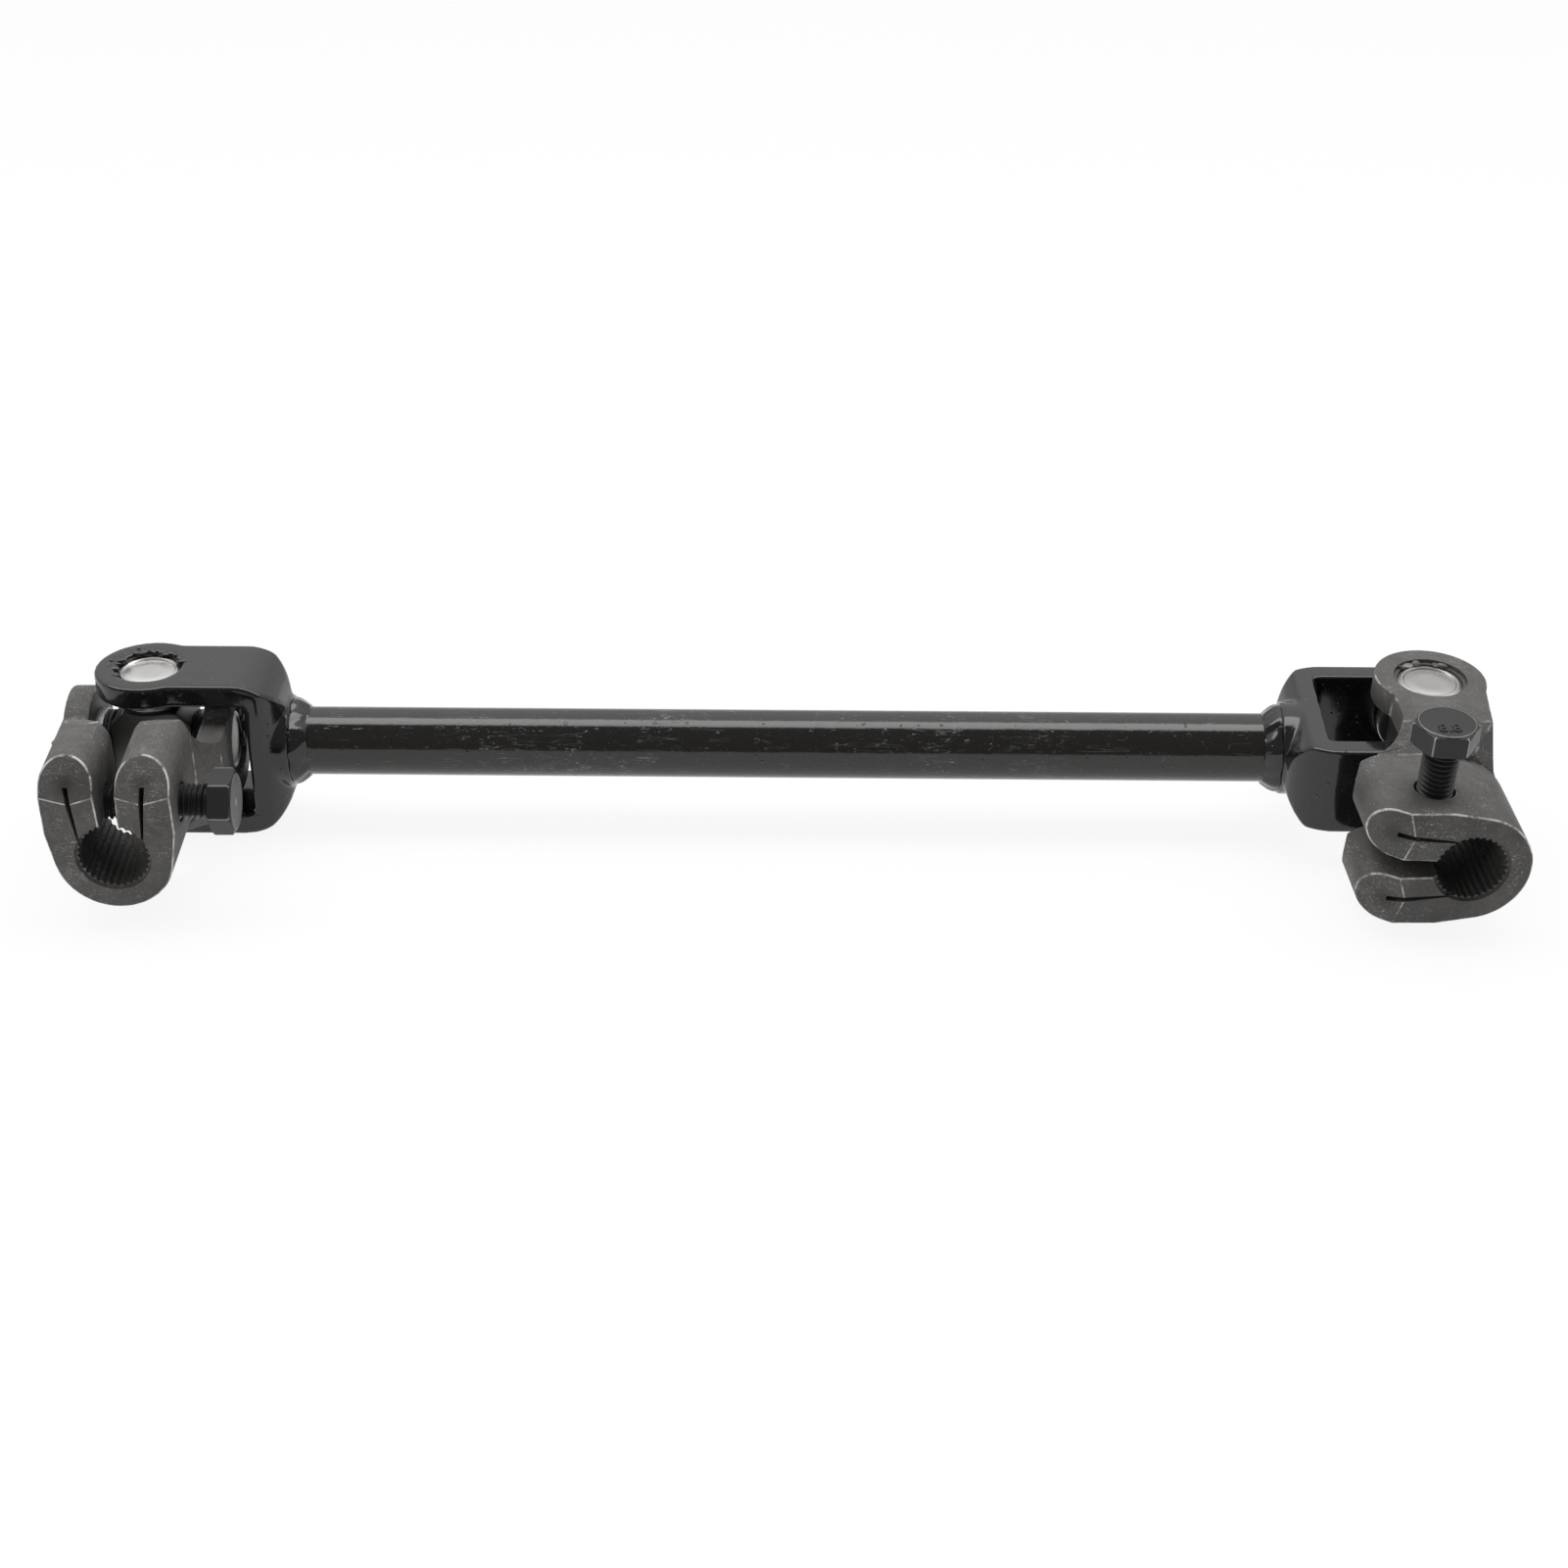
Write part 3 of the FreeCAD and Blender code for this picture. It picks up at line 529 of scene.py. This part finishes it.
# %% Turned pieces
def turned(name, profile, matrix, material, body, segments=96):
    """Spin a profile of (radius, height) in metres about the matrix's Z axis, ends closed on the axis."""
    mesh = bmesh.new()
    rings = []
    for radius, height in profile:
        if radius == 0:
            rings.append([mesh.verts.new((0, 0, height))])
            continue
        angles = [2 * math.pi * step / segments for step in range(segments)]
        rings.append([mesh.verts.new((radius * math.cos(a), radius * math.sin(a), height)) for a in angles])
    for low, high in zip(rings, rings[1:]):
        for step in range(segments):
            after = (step + 1) % segments
            if len(low) == 1:
                mesh.faces.new((low[0], high[after], high[step]))
            elif len(high) == 1:
                mesh.faces.new((low[step], low[after], high[0]))
            else:
                mesh.faces.new((low[step], low[after], high[after], high[step]))
    bmesh.ops.recalc_face_normals(mesh, faces=mesh.faces)
    mesh.transform(matrix)
    piece = new_piece(name, mesh, [material])
    smooth(piece, 32)
    if body:
        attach(piece, body)
    return piece


def joined(name, pieces, body):
    """Join pieces into one object."""
    with bpy.context.temp_override(active_object=pieces[0], selected_editable_objects=pieces):
        bpy.ops.object.join()
    pieces[0].name = name
    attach(pieces[0], body)
    return pieces[0]


def along(frame_matrix, axis, sign):
    """A matrix whose Z axis points outwards along an ear axis of a yoke's frame."""
    outward = frame_matrix.to_3x3().col[axis] * sign
    side_way = frame_matrix.to_3x3().col[1]
    z = outward.normalized()
    x = side_way.cross(z).normalized()
    y = z.cross(x)
    matrix = Matrix((x, y, z)).transposed().to_4x4()
    matrix.translation = frame_matrix.translation
    return matrix


# %% [markdown]
# The bar is stock round steel, cut to length. Its long reflection would show every flat of a coarse cylinder,
# so it is spun with many sides. Its ends are hidden in the strap yokes.

# %% Bar
low, high = node_corners("shaft_bar", strap["left"])
BAR_RADIUS = (high.z - low.z) / 2
lengthwise = along(strap["left"], 0, 1)
bar = turned("Bar", [(0, low.x), (BAR_RADIUS, low.x), (BAR_RADIUS, high.x), (0, high.x)], lengthwise,
             bar_paint, "shaft", segments=160)
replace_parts(bar, "shaft_bar")
print("bar diameter, mm:", round(2 * BAR_RADIUS / MM, 2))


# %% [markdown]
# A bearing cap is drawn from sheet: a flat floor, a shallow raised rim and a rounded edge, pressed into the
# ear a little below its face. The seal is a ring between the cup's mouth and the hub of the cross.

# %% Bearing cups and seals
CUP_RADIUS = 7.5 * MM
CUP_FACE = 18.3 * MM
CUP_MOUTH = 11.1 * MM
SEAL_FACE = 9.6 * MM
BORE_RADIUS = 4.33 * MM


def cup_profile():
    """From the middle of the outer face round the wall to the bore and its floor."""
    face = CUP_FACE
    return [(0, face - 0.35 * MM), (3.0 * MM, face - 0.33 * MM), (5.3 * MM, face - 0.36 * MM),
            (5.6 * MM, face - 0.5 * MM), (5.8 * MM, face - 0.48 * MM), (6.0 * MM, face - 0.2 * MM),
            (6.25 * MM, face), (6.6 * MM, face - 0.02 * MM), (6.85 * MM, face - 0.2 * MM),
            (7.1 * MM, face - 0.3 * MM), (7.4 * MM, face - 0.5 * MM),
            (CUP_RADIUS, face - 0.75 * MM), (CUP_RADIUS, CUP_MOUTH + 0.3 * MM),
            (7.3 * MM, CUP_MOUTH), (BORE_RADIUS, CUP_MOUTH), (BORE_RADIUS, face - 1.25 * MM),
            (0, face - 1.25 * MM)]


def seal_profile():
    """A ring with two lips and a groove between them."""
    return [(BORE_RADIUS, CUP_MOUTH), (7.0 * MM, CUP_MOUTH), (7.1 * MM, CUP_MOUTH - 0.15 * MM),
            (7.1 * MM, CUP_MOUTH - 0.45 * MM), (6.7 * MM, CUP_MOUTH - 0.6 * MM),
            (6.7 * MM, CUP_MOUTH - 0.95 * MM), (7.1 * MM, CUP_MOUTH - 1.1 * MM),
            (7.05 * MM, SEAL_FACE + 0.05 * MM), (6.7 * MM, SEAL_FACE), (BORE_RADIUS, SEAL_FACE),
            (BORE_RADIUS, CUP_MOUTH)]


cups = []
seals = []
for side in SIDES:
    for sign in (1, -1):
        matrix = along(strap[side], 2, sign)
        cups.append(turned("Cup", cup_profile(), matrix, cap_steel, None))
        seals.append(turned("Seal", seal_profile(), matrix, rubber, None))
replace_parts(joined("Strap_yoke_cups", cups, "shaft"), "strap_cups")
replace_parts(joined("Strap_yoke_seals", seals, "shaft"), "strap_seals")
for side in SIDES:
    for end, sign in (("a", 1), ("b", -1)):
        matrix = along(pinch[side], 0, sign)
        body = f"{side}_pinch_yoke"
        cup = turned(f"Pinch_yoke_cup_{side}_{end}", cup_profile(), matrix, worn_cap_steel, body)
        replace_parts(cup, f"pinch_cup_{side}_{end}")
        ring = turned(f"Pinch_yoke_seal_{side}_{end}", seal_profile(), matrix, rubber, body)
        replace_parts(ring, f"pinch_seal_{side}_{end}")
print("cups:", len(cups) + 4)


# %% [markdown]
# A cap is held by staking: a punch pushes metal of the ear over its rim in a row of lumps. The lumps repeat
# with small differences, so Geometry Nodes make them: points on an arc, a rough ball on each, turned and
# stretched at random from a fixed seed.

# %% Nodes for a row of stakes
def stake_nodes():
    """A node group that sets lumps along an arc round the Z axis."""
    group = bpy.data.node_groups.new("Row of stakes", "GeometryNodeTree")
    sockets = {}
    for name, kind, value in (("Count", "Int", 9), ("Seed", "Int", 3), ("Radius", "Float", 7.2 * MM),
                              ("Height", "Float", 18.4 * MM), ("Size", "Float", 0.6 * MM),
                              ("Start", "Float", 0.0), ("Sweep", "Float", 3.0)):
        item = group.interface.new_socket(name, in_out="INPUT", socket_type="NodeSocket" + kind)
        item.default_value = value
        sockets[name] = item.identifier
    item = group.interface.new_socket("Material", in_out="INPUT", socket_type="NodeSocketMaterial")
    sockets["Material"] = item.identifier
    group.interface.new_socket("Geometry", in_out="OUTPUT", socket_type="NodeSocketGeometry")
    tree = Tree(group)
    count, seed, radius, height, size, start, sweep, material = tree.add("NodeGroupInput")[:8]
    line = tree.add("GeometryNodeMeshLine", None, {"Count": count})[0]
    index = tree.add("GeometryNodeInputIndex")[0]
    jitter = tree.add("FunctionNodeRandomValue", {"data_type": "FLOAT"}, {2: -0.4, 3: 0.4, "Seed": seed})[0]
    angle = start + sweep * (index + jitter) / count
    place = tree.add("ShaderNodeCombineXYZ", None,
                     {0: radius * angle.math("COSINE"), 1: radius * angle.math("SINE"), 2: height})[0]
    points = tree.add("GeometryNodeSetPosition", None, {"Geometry": line, "Position": place})[0]
    ball = tree.add("GeometryNodeMeshIcoSphere", None, {"Radius": size, "Subdivisions": 3})[0]
    stretch = tree.add("FunctionNodeRandomValue", {"data_type": "FLOAT_VECTOR"},
                       {0: (0.35, 0.35, 0.2), 1: (1.3, 1.0, 0.6), "Seed": seed})[0]
    turn = tree.add("FunctionNodeRandomValue", {"data_type": "FLOAT_VECTOR"},
                    {0: (-0.3, -0.3, 0.0), 1: (0.3, 0.3, 6.28), "Seed": seed})[0]
    lumps = tree.add("GeometryNodeInstanceOnPoints", None,
                     {"Points": points, "Instance": ball, "Scale": stretch, "Rotation": turn})[0]
    real = tree.add("GeometryNodeRealizeInstances", None, {"Geometry": lumps})[0]
    painted = tree.add("GeometryNodeSetMaterial", None, {"Geometry": real, "Material": material})[0]
    tree.add("NodeGroupOutput", None, {"Geometry": painted})
    return group, sockets


lump_nodes, lump_inputs = stake_nodes()
print("inputs of a row of stakes:", ", ".join(lump_inputs))


# %% [markdown]
# The strap yokes have two rows on each ear, a coarse one and a few stray burrs, which the paint covers. The
# pinch yokes have one short row, of bare rubbed metal.

# %% Rows of stakes
def stakes(name, matrix, body, material, **values):
    """A row of lumps round a matrix's Z axis."""
    piece = bpy.data.objects.new(name, bpy.data.meshes.new(name))
    bpy.context.scene.collection.objects.link(piece)
    modifier = piece.modifiers.new("Stakes", "NODES")
    modifier.node_group = lump_nodes
    for key, value in values.items():
        modifier[lump_inputs[key]] = value
    modifier[lump_inputs["Material"]] = material
    bake(piece)
    piece.data.transform(matrix)
    smooth(piece, 60)
    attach(piece, body)
    return piece


for side in SIDES:
    for end, sign in (("a", 1), ("b", -1)):
        stakes(f"Strap_stakes_{side}_{end}", along(strap[side], 2, sign), "shaft", paint, Count=13,
               Seed=5 + sign, Radius=7.75 * MM, Height=19.05 * MM, Size=1.35 * MM, Start=0.35, Sweep=3.5)
        stakes(f"Strap_burrs_{side}_{end}", along(strap[side], 2, sign), "shaft", paint, Count=7,
               Seed=8 + sign, Radius=9.3 * MM, Height=19.35 * MM, Size=1.0 * MM, Start=1.9, Sweep=1.5)
        stakes(f"Pinch_stakes_{side}_{end}", along(pinch[side], 0, sign), f"{side}_pinch_yoke", coated_edge,
               Count=5, Seed=11 + sign, Radius=7.7 * MM, Height=18.45 * MM, Size=1.25 * MM, Start=0.9,
               Sweep=1.9)
print("rows of stakes: 12")


# %% [markdown]
# The cross is one forging: a hub with four ground trunnions that reach into the cups. Only the hub and the
# roots of the trunnions show, so it keeps the solid's shape, with rounded edges.

# %% Crosses
for side in SIDES:
    rounded_copy(f"cross_{side}", f"Cross_{side}", 0.5 * MM, [cross_steel, cross_steel],
                 lambda edge: 1.0, f"{side}_cross")


# %% [markdown]
# The weld is a lumpy ring where the collar meets the bar. A smooth fillet is spun first, then every vertex
# is pushed out or in by slow waves round the bar, which gives the lumps of a hand-laid pass under paint.

# %% Weld beads
BEAD_RADIUS = 9.7 * MM
BEAD_BULGE = 0.9 * MM
BEAD_START = 0.3
BEAD_LENGTH = 4.6


def weld_bead(side):
    """A lumpy fillet weld between the collar and the bar."""
    low, high = node_corners("strap_yoke_" + side, strap[side])
    start = high.x - 0.9 * MM
    profile = [(BAR_RADIUS - 0.2 * MM, start)]
    steps = 18
    for step in range(steps + 1):
        part = step / steps
        bulge = math.sin(math.pi * part ** 0.7) * BEAD_BULGE
        radius = BEAD_RADIUS + (BAR_RADIUS - BEAD_RADIUS) * part
        profile.append((radius + bulge, start + (BEAD_START + BEAD_LENGTH * part) * MM))
    profile.append((BAR_RADIUS - 0.2 * MM, start + (BEAD_START + BEAD_LENGTH) * MM))
    profile.append(profile[0])
    bead = turned(f"Weld_bead_{side}", profile, along(strap[side], 0, 1), paint, None, segments=180)
    inverse = strap[side].inverted()
    for vertex in bead.data.vertices:
        point = inverse @ vertex.co
        angle = math.atan2(point.z, point.y)
        radius = math.hypot(point.y, point.z)
        if radius < BAR_RADIUS + 0.05 * MM:
            continue
        ripple = 0.22 * math.sin(5 * angle + 1.3) + 0.16 * math.sin(9 * angle + 1.6 * math.sin(2 * angle))
        ripple += 0.1 * math.sin(14 * angle + 900 * point.x)
        scale = 1 + ripple * MM / radius
        vertex.co = strap[side] @ Vector((point.x, point.y * scale, point.z * scale))
    smooth(bead, 60)
    return bead


beads = joined("Weld_beads", [weld_bead(side) for side in SIDES], "shaft")
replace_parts(beads, "weld_beads")
print("weld vertices:", len(beads.data.vertices))


# %% [markdown]
# The pinch bolts are M8, so their rolled thread has a pitch of 1.25 mm. A thread follows a rule, so Geometry
# Nodes make it: a grid is rolled into a tube whose radius goes up and down once per pitch, and the phase
# turns with the angle so that the ridge climbs as a helix.

# %% Thread
def thread_nodes():
    """A node group that rolls a grid into a threaded rod."""
    group = bpy.data.node_groups.new("Threaded rod", "GeometryNodeTree")
    sockets = {}
    for name, value in (("Radius", 4 * MM), ("Depth", 0.75 * MM), ("Pitch", 1.25 * MM), ("Length", 30 * MM)):
        item = group.interface.new_socket(name, in_out="INPUT", socket_type="NodeSocketFloat")
        item.default_value = value
        sockets[name] = item.identifier
    item = group.interface.new_socket("Material", in_out="INPUT", socket_type="NodeSocketMaterial")
    sockets["Material"] = item.identifier
    group.interface.new_socket("Geometry", in_out="OUTPUT", socket_type="NodeSocketGeometry")
    tree = Tree(group)
    radius, depth, pitch, length, material = tree.add("NodeGroupInput")[:5]
    grid = tree.add("GeometryNodeMeshGrid", None,
                    {"Size X": 1.0, "Size Y": 1.0, "Vertices X": 73, "Vertices Y": 480})[0]
    place = tree.add("GeometryNodeInputPosition")[0]
    across, up = tree.add("ShaderNodeSeparateXYZ", None, {0: place})[:2]
    angle = (across + 0.5) * (2 * math.pi)
    height = (up + 0.5) * length
    phase = (height / pitch - (across + 0.5)).math("FRACT")
    ridge = ((phase - 0.5).math("ABSOLUTE") * 2.6 - 0.15).clamped()
    fade = (height / pitch).clamped() * ((length - height) / pitch).clamped()
    reach = radius - depth * (1 - ridge) * fade - (1 - ((length - height) / pitch).clamped()) * depth
    x = reach * angle.math("COSINE")
    y = reach * angle.math("SINE")
    rolled = tree.add("ShaderNodeCombineXYZ", None, {0: x, 1: y, 2: height * -1.0})[0]
    tube = tree.add("GeometryNodeSetPosition", None, {"Geometry": grid, "Position": rolled})[0]
    seamless = tree.add("GeometryNodeMergeByDistance", None, {"Geometry": tube, "Distance": 1e-6})[0]
    real = tree.add("GeometryNodeRealizeInstances", None, {"Geometry": seamless})[0]
    painted = tree.add("GeometryNodeSetMaterial", None, {"Geometry": real, "Material": material})[0]
    tree.add("NodeGroupOutput", None, {"Geometry": painted})
    return group, sockets


rod_nodes, rod_inputs = thread_nodes()
print("inputs of a threaded rod:", ", ".join(rod_inputs))


def threaded_rod(name, length):
    """A threaded rod along -Z from the origin, as a plain mesh."""
    rod = bpy.data.objects.new(name, bpy.data.meshes.new(name))
    bpy.context.scene.collection.objects.link(rod)
    modifier = rod.modifiers.new("Thread", "NODES")
    modifier.node_group = rod_nodes
    modifier[rod_inputs["Length"]] = length
    modifier[rod_inputs["Material"]] = bolt_coat
    bake(rod)
    mesh = bmesh.new()
    mesh.from_mesh(rod.data)
    rims = [edge for edge in mesh.edges if len(edge.link_faces) == 1]
    bmesh.ops.holes_fill(mesh, edges=rims, sides=0)
    bmesh.ops.recalc_face_normals(mesh, faces=mesh.faces)
    mesh.to_mesh(rod.data)
    mesh.free()
    return rod


# %% [markdown]
# The head is a hexagonal prism cut by a cone, as turning leaves it: the corners are chamfered and the top
# is a round land. Its corners are rubbed to bare metal.

# %% Bolt heads
HEAD_FLATS = 13 * MM
HEAD_HEIGHT = 5.3 * MM
HEAD_STEPS = 240
CHAMFER_SLOPE = 1.75
TOP_OF_CORNERS = 6
HEAD_TURN = {"left": 0.0, "right": math.radians(-34)}


def hexagon_head(name):
    """A hexagon head above the origin, chamfered by a cone."""
    mesh = bmesh.new()
    inner = HEAD_FLATS / 2
    land = inner * 0.93
    rings = []
    parts = (0.0, 0.04, 0.1, 0.8, 0.84, 0.88, 0.92, 0.96, 0.985, 1.0, 0.97)
    for number, part in enumerate(parts):
        ring = []
        for step in range(HEAD_STEPS):
            angle = 2 * math.pi * step / HEAD_STEPS
            flat = inner / math.cos((angle + math.pi / 6) % (math.pi / 3) - math.pi / 6)
            cone = land + (1.0 - part) * HEAD_HEIGHT * CHAMFER_SLOPE
            if part < 0.5:
                cone = inner * 1.06 + part * HEAD_HEIGHT * CHAMFER_SLOPE
            if number == len(parts) - 1:
                cone = land * 0.86
            reach = min(flat, cone)
            corner = (reach * math.cos(angle), reach * math.sin(angle), part * HEAD_HEIGHT)
            ring.append(mesh.verts.new(corner))
        rings.append(ring)
    side_steps = HEAD_STEPS // 6
    for level, (low_ring, high_ring) in enumerate(zip(rings, rings[1:])):
        for step in range(HEAD_STEPS):
            after = (step + 1) % HEAD_STEPS
            face = mesh.faces.new((low_ring[step], low_ring[after], high_ring[after], high_ring[step]))
            from_corner = (step - side_steps // 2) % side_steps
            on_corner = from_corner in (0, side_steps - 1) and level < TOP_OF_CORNERS
            face.material_index = int(on_corner or level == len(parts) - 3)
    mesh.faces.new(list(reversed(rings[0])))
    mesh.faces.new(rings[-1])
    return new_piece(name, mesh, [bolt_coat, bolt_edge])


# %% [markdown]
# The right head has the raised strength class that such bolts carry. The left head has a small burr in its
# middle, from cutting off.

# %% Marks on the heads
def class_mark(name):
    """The strength class 8.8 in raised figures on top of a head."""
    curve = bpy.data.curves.new(name, "FONT")
    curve.body = "8.8"
    curve.size = 4.2 * MM
    curve.align_x = "CENTER"
    curve.align_y = "CENTER"
    curve.extrude = 0.14 * MM
    curve.bevel_depth = 0.06 * MM
    words = bpy.data.objects.new(name, curve)
    bpy.context.scene.collection.objects.link(words)
    bpy.context.view_layer.update()
    data = bpy.data.meshes.new_from_object(words.evaluated_get(bpy.context.evaluated_depsgraph_get()))
    bpy.data.objects.remove(words)
    data.transform(Matrix.Translation((0, -2.4 * MM, HEAD_HEIGHT * 0.97)))
    data.materials.clear()
    data.materials.append(bolt_coat)
    mark = bpy.data.objects.new(name, data)
    bpy.context.scene.collection.objects.link(mark)
    return mark


def cut_off_burr(name):
    """A small round burr in the middle of a head."""
    top = HEAD_HEIGHT * 0.97
    profile = [(0, top + 0.14 * MM), (0.5 * MM, top + 0.12 * MM), (0.9 * MM, top + 0.02 * MM),
               (1.1 * MM, top - 0.1 * MM), (0, top - 0.1 * MM)]
    return turned(name, profile, Matrix.Identity(4), bolt_edge, None, segments=32)


# %% [markdown]
# Each bolt is put together where its solid is and joined into one object. Its head stands off the lug,
# because the bolt isn't screwed in.

# %% Bolts
for side in SIDES:
    low, high = node_corners("pinch_bolt_" + side, pinch[side])
    under = high.x - HEAD_HEIGHT
    seat = along(pinch[side], 0, 1)
    seat.translation = pinch[side] @ Vector((under, (low.y + high.y) / 2, (low.z + high.z) / 2))
    head = hexagon_head(f"Bolt_head_{side}")
    head.data.transform(Matrix.Rotation(HEAD_TURN[side], 4, "Z"))
    rod = threaded_rod(f"Bolt_thread_{side}", under - low.x)
    extra = class_mark("Class_mark") if side == "right" else cut_off_burr("Cut_off_burr")
    for piece in (head, rod, extra):
        piece.data.transform(seat)
        smooth(piece, 25)
    bolt = joined(f"Pinch_bolt_{side}", [head, rod, extra], f"{side}_bolt")
    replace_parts(bolt, f"pinch_bolt_{side}")
    print(side, "bolt faces:", len(bolt.data.polygons))


# %% [markdown]
# The photograph was taken on a white table under one long light, with white behind and a dark room in
# front. Gloss paint shows all of that: a bright band along the top of the bar, black in the middle and a
# grey floor below. The world gives the surroundings by direction, and a long area light gives the band.

# %% Floor and world
def ray_kinds(tree):
    """1 on camera rays, 1 on mirror rays and 1 on see-through rays."""
    node = tree.tree.nodes.new("ShaderNodeLightPath")
    return [Value(tree, node.outputs[f"Is {kind} Ray"]) for kind in ("Camera", "Glossy", "Transmission")]


FLOOR_GLOW = 0.9
floor_mesh = bpy.data.meshes.new("Floor")
floor_mesh.from_pydata([(-3, -3, 0), (3, -3, 0), (3, 3, 0), (-3, 3, 0)], [], [(0, 1, 2, 3)])
floor = bpy.data.objects.new("Floor", floor_mesh)
bpy.context.scene.collection.objects.link(floor)
floor_finish = Finish("White table", Roughness=1.0, Specular_IOR_Level=0.0)
floor_finish.set("Base Color", (0.8, 0.8, 0.8, 1))
on_camera, in_mirror, through = ray_kinds(floor_finish)
seen = (on_camera + in_mirror + through).clamped()
table_shader = Value(floor_finish, floor_finish.shader.outputs[0])
glow = floor_finish.add("ShaderNodeEmission", None, {"Color": (1, 1, 1, 1), "Strength": 1.0})[0]
mixed = floor_finish.add("ShaderNodeMixShader", None,
                         {0: seen * FLOOR_GLOW, 1: table_shader, 2: glow})[0]
floor_finish.feed(floor_finish.tree.nodes["Material Output"].inputs[0], mixed)
floor_mesh.materials.append(floor_finish.material)

world = bpy.data.worlds.new("Studio")
bpy.context.scene.world = world
world.use_nodes = True
sky = Tree(world.node_tree)
direction = sky.add("ShaderNodeTexCoord")[0]
north, top = sky.add("ShaderNodeSeparateXYZ", None, {0: direction})[1:]
behind = north.ramp(-0.12, 0.05)
level = behind * (top.ramp(0.3, 1.0) * 0.9 + 0.55) + 0.19
on_camera = ray_kinds(sky)[0]
strength = on_camera + (1 - on_camera) * level
background = world.node_tree.nodes["Background"]
sky.feed(background.inputs["Strength"], strength)
background.inputs["Color"].default_value = (1, 1, 1, 1)
print("floor and world:", floor.name, "and", world.name)


# %% [markdown]
# One long soft light hangs over the bar, a little behind it, so its front edge makes the sharp end of the
# bright band. A weak fill from the left front lifts the mouths of the yokes. It is hidden from reflections,
# because the photograph's black paint shows a dark room there.

# %% Light
def soft_light(name, place, target, size, watts):
    """A rectangular area light that points at the target."""
    data = bpy.data.lights.new(name, "AREA")
    data.shape = "RECTANGLE"
    data.size, data.size_y = size
    data.energy = watts
    lamp = bpy.data.objects.new(name, data)
    lamp.location = place
    lamp.rotation_euler = (Vector(target) - Vector(place)).to_track_quat("-Z", "Y").to_euler()
    bpy.context.scene.collection.objects.link(lamp)
    return lamp


soft_light("Long soft light", (0, 0.15, 0.9), (0, 0.05, 0), (2.0, 0.42), 8.6)
fill = soft_light("Fill from the left front", (-0.38, -0.45, 0.26), (-0.16, 0, 0.02), (0.3, 0.3), 0.7)
fill.visible_glossy = False
print("lights:", len(bpy.data.lights))


# %% [markdown]
# The camera stands where the photographer's did. Its place, lens and slight tilt were found by matching
# the joints, the bar's edges and the bores to the photograph.

# %% Camera
LENS = 2755.224
FRAME_WIDTH = 1601
DISTANCE = 0.6373909
DOWN = math.radians(29.7987)
SIDEWAYS = math.radians(-1.5658)
ROLL = math.radians(-0.3207)
target = middle + Vector((-0.1383, 0, -10.8625)) * MM
level_forward = Vector((math.sin(SIDEWAYS), math.cos(SIDEWAYS), 0))
forward = math.cos(DOWN) * level_forward + Vector((0, 0, -math.sin(DOWN)))
level_right = Vector((math.cos(SIDEWAYS), -math.sin(SIDEWAYS), 0))
level_up = level_right.cross(forward)
right = math.cos(ROLL) * level_right + math.sin(ROLL) * level_up
up = -math.sin(ROLL) * level_right + math.cos(ROLL) * level_up
camera_data = bpy.data.cameras.new("Camera")
camera_data.sensor_width = 36
camera_data.lens = LENS / FRAME_WIDTH * camera_data.sensor_width
camera_data.clip_start = 0.01
camera = bpy.data.objects.new("Camera", camera_data)
turn = Matrix((right, up, -forward)).transposed().to_4x4()
camera.matrix_world = Matrix.Translation(target - DISTANCE * forward) @ turn
bpy.context.scene.collection.objects.link(camera)
bpy.context.scene.camera = camera
bpy.context.scene.view_settings.view_transform = "Standard"
print("lens, mm:", round(camera_data.lens, 2))
